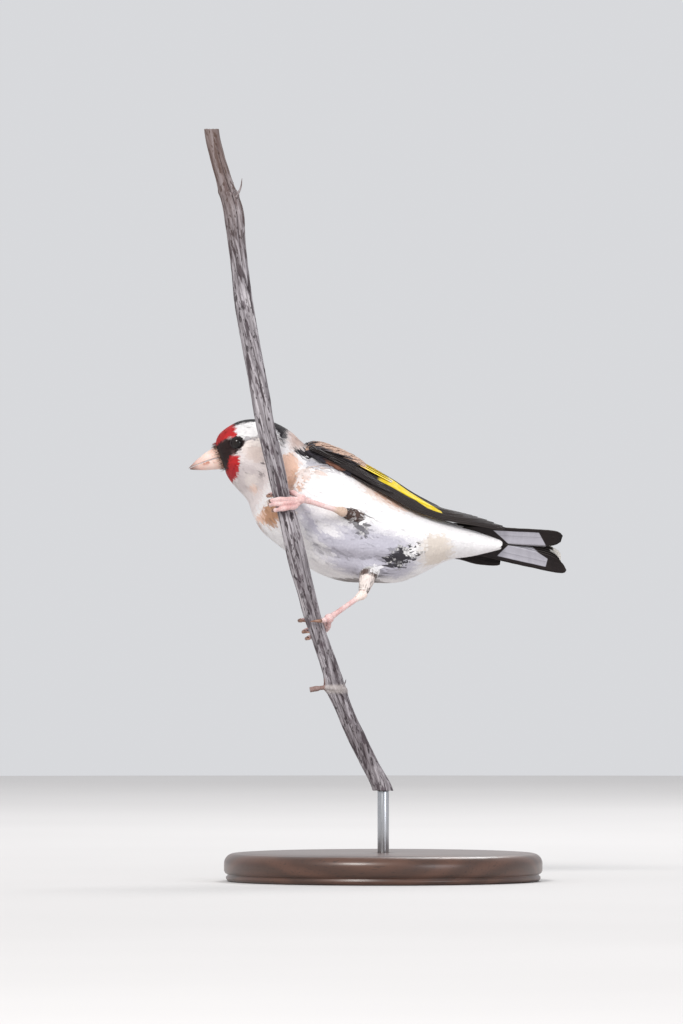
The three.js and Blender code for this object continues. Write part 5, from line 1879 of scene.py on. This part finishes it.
# %% Shape of the stem
STEM_NODES = [(60.4, 0.5, 1.6), (216, 0.35, 1.3)]
STUB = (np.array([-15.5, -1.6, 60.9]), np.array([-23, -2.4, 60.1]), 1.35, 0.75)


def stem_noise(x, y, z, scale, draw_out):
    return noise.noise(Vector((x * scale, y * scale, z * scale / draw_out)))


def crack_depth(turn, z, line):
    """Depth of one long crack: its place round the stem, its height range, width and depth."""
    middle, low, high, wide, deep = line
    if z < low or z > high:
        return 0
    ends = math.sin(math.pi * (z - low) / (high - low)) ** 0.5
    drift = middle + 9 * noise.noise(Vector((z * 0.07, middle, 0)))
    away = (turn - drift + 180) % 360 - 180
    return deep * ends * math.exp(-(away / wide) ** 2)


# Cracks: degrees round the stem (270 faces the viewer), lowest and highest point, width, depth
CRACKS = [
    (262, 30, 74, 5, 0.45), (300, 64, 120, 4, 0.35), (238, 88, 150, 4, 0.4), (281, 128, 172, 5, 0.45),
    (253, 160, 214, 4, 0.4), (292, 186, 234, 5, 0.5), (215, 196, 232, 5, 0.4), (230, 40, 90, 4, 0.35),
    (75, 40, 120, 5, 0.4), (120, 100, 200, 5, 0.4), (30, 60, 140, 4, 0.35), (165, 140, 230, 5, 0.4),
    (345, 34, 100, 4, 0.3), (330, 150, 222, 4, 0.35),
]


def stem_part():
    rows, sides = 620, 72
    heights = np.linspace(28.4, 236.2, rows)
    x, radius, slant = stem_at(heights)
    points = []
    for i, z in enumerate(heights):
        rise = sum(r * math.exp(-((z - node) / (0.75 * half)) ** 2) for node, r, half in STEM_NODES)
        for k in range(sides):
            degrees = k / sides * 360
            turn = math.radians(degrees)
            ridge = 0.04 * (0.5 + 0.5 * math.sin(3 * turn + z * 0.05 + math.sin(z * 0.11)))
            c, s = math.cos(turn), math.sin(turn)
            rough = 0.10 * stem_noise(c * 3, s * 3, z, 0.9, 5) + 0.05 * stem_noise(c * 3, s * 3, z, 3.2, 9)
            crack = sum(crack_depth(degrees, z, line) for line in CRACKS)
            reach = radius[i] * (1 - ridge) + rise * (1 + 0.35 * math.sin(5 * turn + z)) + rough - crack
            points.append((x[i] + c * reach, s * reach * slant[i], z))
    points = np.array(points)
    end_cut(points, 0, sides, 0.35)
    end_cut(points, rows - 1, sides, -0.35)
    return points, tube_faces(rows, sides)


def end_cut(points, row, sides, slope):
    """A saw leaves the end slightly rough."""
    for k in range(row * sides, (row + 1) * sides):
        points[k, 2] += slope * abs(noise.noise(Vector(points[k] * 1.7)))


def stub_part():
    start, end, base_radius, end_radius = STUB
    middle = (start + end) / 2 + np.array([0, 0, 0.25])
    path = smooth_path([start + np.array([1.6, 0.2, 0.1]), start, middle, end], 60)

    def thickness(t):
        return base_radius + (end_radius - base_radius) * min(1, 1.6 * t) + 0.12 * math.sin(t * 9)

    points, faces = scaled_tube(path, thickness, 20)
    rough = [0.12 * noise.noise(Vector(p * 0.9)) for p in points]
    return [p + np.array([0, 0, r]) for p, r in zip(points, rough)], faces


def splinter(root, tip, wide, bend):
    path = smooth_path([root, (root + tip) / 2 + bend, tip], 16)
    return scaled_tube(path, lambda t: wide * (1 - t) ** 0.7 + 0.04, 8)


SPLINTERS = [
    ((-46.2, -2, 214.6), (-44.3, -2.9, 220.6), 0.42, (0.5, -0.3, 0)),
    ((-47.6, -2.7, 215.2), (-47, -3.1, 219.4), 0.34, (0.1, -0.3, 0)),
    ((-13.6, -2.6, 59.6), (-11.9, -3.2, 57), 0.36, (0.3, -0.2, 0)),
    ((-12.9, -2.2, 61.2), (-11.7, -2.7, 63.4), 0.32, (0.3, -0.2, 0)),
]

# %% Finish of weathered wood
# Marks of the weather: scale of the noise, its detail, roughness and how far it is drawn out, where in
# it the mark begins and is full, how strong it is, and its colour. Streaks, blotches and pits
STEM_MARKS = [
    (620, 4, 0.6, 0.13, 0.53, 0.60, 0.85, "42383c"),
    (460, 3, 0.6, 0.3, 0.57, 0.65, 0.75, "4d4147"),
    (1100, 2, 0.5, 0.35, 0.59, 0.65, 0.8, "2a2124"),
]


def stem_material():
    net = Finish("weathered stem", 0.85, Specular_IOR_Level=0.25)
    place = net.spot()
    along = net.mapped(place, Rotation=(0, math.radians(14), 0))
    broad = net.noise(along, 260, 4, stretch=(1, 1, 0.12))
    fine = net.noise(along, 1500, 5, 0.65, stretch=(1, 1, 0.05))
    net.shade = net.ramp(broad, (0.30, "7b7275"), (0.46, "a09a9e"), (0.60, "bab4b8"), (0.76, "dcd6d8"))
    net.lay(0.6, net.mix(net.step(fine, 0.42, 0.62), "4a4144", net.shade))
    masks = []
    for scale, detail, roughness, drawn_out, low, high, strength, tint in STEM_MARKS:
        masks.append(net.step(net.noise(along, scale, detail, roughness, (1, 1, drawn_out)), low, high))
        net.lay(masks[-1], tint, strength)
    x, _, height = net.parts(place)
    net.lay(net.step(height, 0.185, 0.232), "7d6354", 0.4)
    # Painted shade in the hollows: darker where the surface is concave, as in the cracks
    net.lay(net.step(net.node("ShaderNodeNewGeometry").outputs["Pointiness"], 0.49, 0.44), "2c2224")
    # The pale ring of the lower node, and its stub
    net.lay(net.times(net.step(height, 0.0585, 0.0596), net.step(height, 0.0622, 0.0611)), "c9c0bb", 0.5)
    net.lay(net.times(net.step(x, -0.0178, -0.0186), net.step(height, 0.064, 0.0632),
                      net.step(height, 0.056, 0.0568)), "7a4f42", 0.65)
    net.bump(net.minus(net.plus(fine, net.times(broad, 0.6)), net.times(masks[0], 0.5)), 0.7, 0.18)
    return net.done()


parts = [stem_part(), stub_part()]
for root, tip, wide, bend in SPLINTERS:
    parts.append(splinter(np.array(root), np.array(tip), wide, np.array(bend)))
stem = new_piece("weathered_stem", *joined_parts(parts))
finish_piece(stem, stem_material(), "dry_stem", "perch_stem")

# %% [markdown]
# ## The stand
# A display stand should not be noticed: a turned disc of dark wood with a fine bead, and a steel rod let
# into the stem's foot. The disc is a profile spun round its axis. Its finish has growth rings that run
# through the whole block, as in real wood, under varnish.

# %% Base and rod
def spun(name, profile, sides):
    points = [(radius * math.cos(turn), radius * math.sin(turn), z)
              for radius, z in profile for turn in round_turns(sides)]
    return new_piece(name, points, tube_faces(len(profile), sides))


def base_profile():
    profile = [(47.5, 0), (48.9, 0.25), (49.4, 0.9), (49.4, 1.5), (48.9, 1.9), (48.9, 2.2), (49.6, 2.6),
               (50, 3.3), (50, 5.6)]
    for i in range(1, 13):
        turn = i / 12 * math.pi / 2
        profile.append((50 - 3.2 * (1 - math.cos(turn)), 5.6 + 3.2 * math.sin(turn)))
    return profile + [(46.2, 8.86), (45.4, 8.62), (44.6, 8.86), (43.8, 9), (20, 9), (4, 9), (3.2, 8.9),
                      (2.6, 8.6)]


def wood_material():
    net = Finish("varnished wood", 0.38, Coat_Weight=0.35, Coat_Roughness=0.22)
    block = net.mapped(net.spot(), Location=(0.01, 0.028, 0.018),
                       Rotation=(0, math.radians(12), math.radians(8)), Scale=(0.3, 1, 1))
    rings = net.node("ShaderNodeTexWave", {"wave_type": "RINGS", "rings_direction": "X"}, Vector=block,
                     Scale=62, Distortion=5, Detail=3, Detail_Scale=0.7)
    pores = net.noise(block, 2200, stretch=(0.25, 1, 1))
    net.shade = net.ramp(rings.outputs["Fac"], (0.1, "452c20"), (0.55, "4e3225"), (0.95, "57392b"))
    net.lay(net.step(pores, 0.56, 0.68, 0, 0.55), "21140f")
    net.bump(pores, 0.12, 0.06)
    return net.done()


def steel_material():
    net = Finish("brushed steel", 0.26, Metallic=1)
    brushed = net.noise(net.spot(), 5000, stretch=(1, 1, 0.02))
    net.shade = net.ramp(brushed, (0.3, "9c9ea2"), (0.7, "c9cbce"))
    net.join(net.surface.inputs["Roughness"], net.step(brushed, 0.3, 0.7, 0.2, 0.36))
    net.bump(brushed, 0.08, 0.02)
    return net.done()


base = spun("turned_base", base_profile(), 128)
finish_piece(base, wood_material(), "stand_wood", "stand_base")
rod = spun("steel_rod", [(1.7, 8.3), (1.8, 8.7), (1.8, 28.6), (1.6, 29.2)], 48)
finish_piece(rod, steel_material(), "stand_metal", "stand_rod")

# %% [markdown]
# ## Stage, light and camera
# A museum photograph is lit softly from above and one side, on pale paper in a pale room. The paper is a
# round sheet, so that the model can be looked at from every side. The camera stands level with the bird and
# far away, as a long lens does, which keeps its outline free of perspective.

# %% Paper floor
FLOOR_RADIUS = 1600


def paper_floor():
    rim = np.linspace(0, 2 * math.pi, 96, endpoint=False)
    points = np.column_stack([np.cos(rim), np.sin(rim), 0 * rim]) * FLOOR_RADIUS
    floor = new_piece("paper", points, [tuple(range(len(rim)))])
    floor.data.materials.append(clouded("pale paper", 0.9, 3, 2, (0.3, "cdcbca"), (0.7, "d2d0cf")))


paper_floor()


# %% Lights
def area_light(name, place, aim, size, power, tint=(1, 1, 1)):
    data = bpy.data.lights.new(name, "AREA")
    data.shape = "DISK"
    data.size = size
    data.energy = power
    data.color = tint
    light = in_scene(bpy.data.objects.new(name, data))
    light.location = place
    light.rotation_euler = (Vector(aim) - Vector(place)).to_track_quat("-Z", "Y").to_euler()


BIRD = (-0.01, 0.015, 0.118)
area_light("key", (-0.9, -2.1, 1.95), BIRD, 0.8, 50, (1, 0.985, 0.96))
area_light("fill", (1.9, -2.2, 0.7), BIRD, 1.4, 16, (0.94, 0.95, 1))
area_light("rim", (0.25, 0.8, 0.95), BIRD, 0.5, 6)
world = bpy.data.worlds.new("room")
world.use_nodes = True
world.node_tree.nodes["Background"].inputs["Color"].default_value = (0.93, 0.94, 0.97, 1)
world.node_tree.nodes["Background"].inputs["Strength"].default_value = 0.74
scene.world = world

scene.view_settings.view_transform = "Standard"

# %% Camera
CAMERA_DISTANCE = 4
FRAME_CENTRE = (-0.0131, 0.014, 0.1159)
FRAME_HEIGHT = 0.3226
SENSOR = 24

camera_data = bpy.data.cameras.new("camera")
camera_data.sensor_fit = "VERTICAL"
camera_data.sensor_height = SENSOR
camera_data.lens = SENSOR * CAMERA_DISTANCE / FRAME_HEIGHT
camera = in_scene(bpy.data.objects.new("camera", camera_data))
camera.location = (FRAME_CENTRE[0], FRAME_CENTRE[1] - CAMERA_DISTANCE, FRAME_CENTRE[2])
camera.rotation_euler = (math.radians(90), 0, 0)
scene.camera = camera
print("lens in mm:", round(camera_data.lens, 1))

# %% [markdown]
# ## Close
# The last cell clears away what was only needed while building.

# %% Clear away what was only needed while building
for group in (tiny, soft, sleek):
    for feather in list(group.objects):
        bpy.data.objects.remove(feather)
    bpy.data.collections.remove(group)
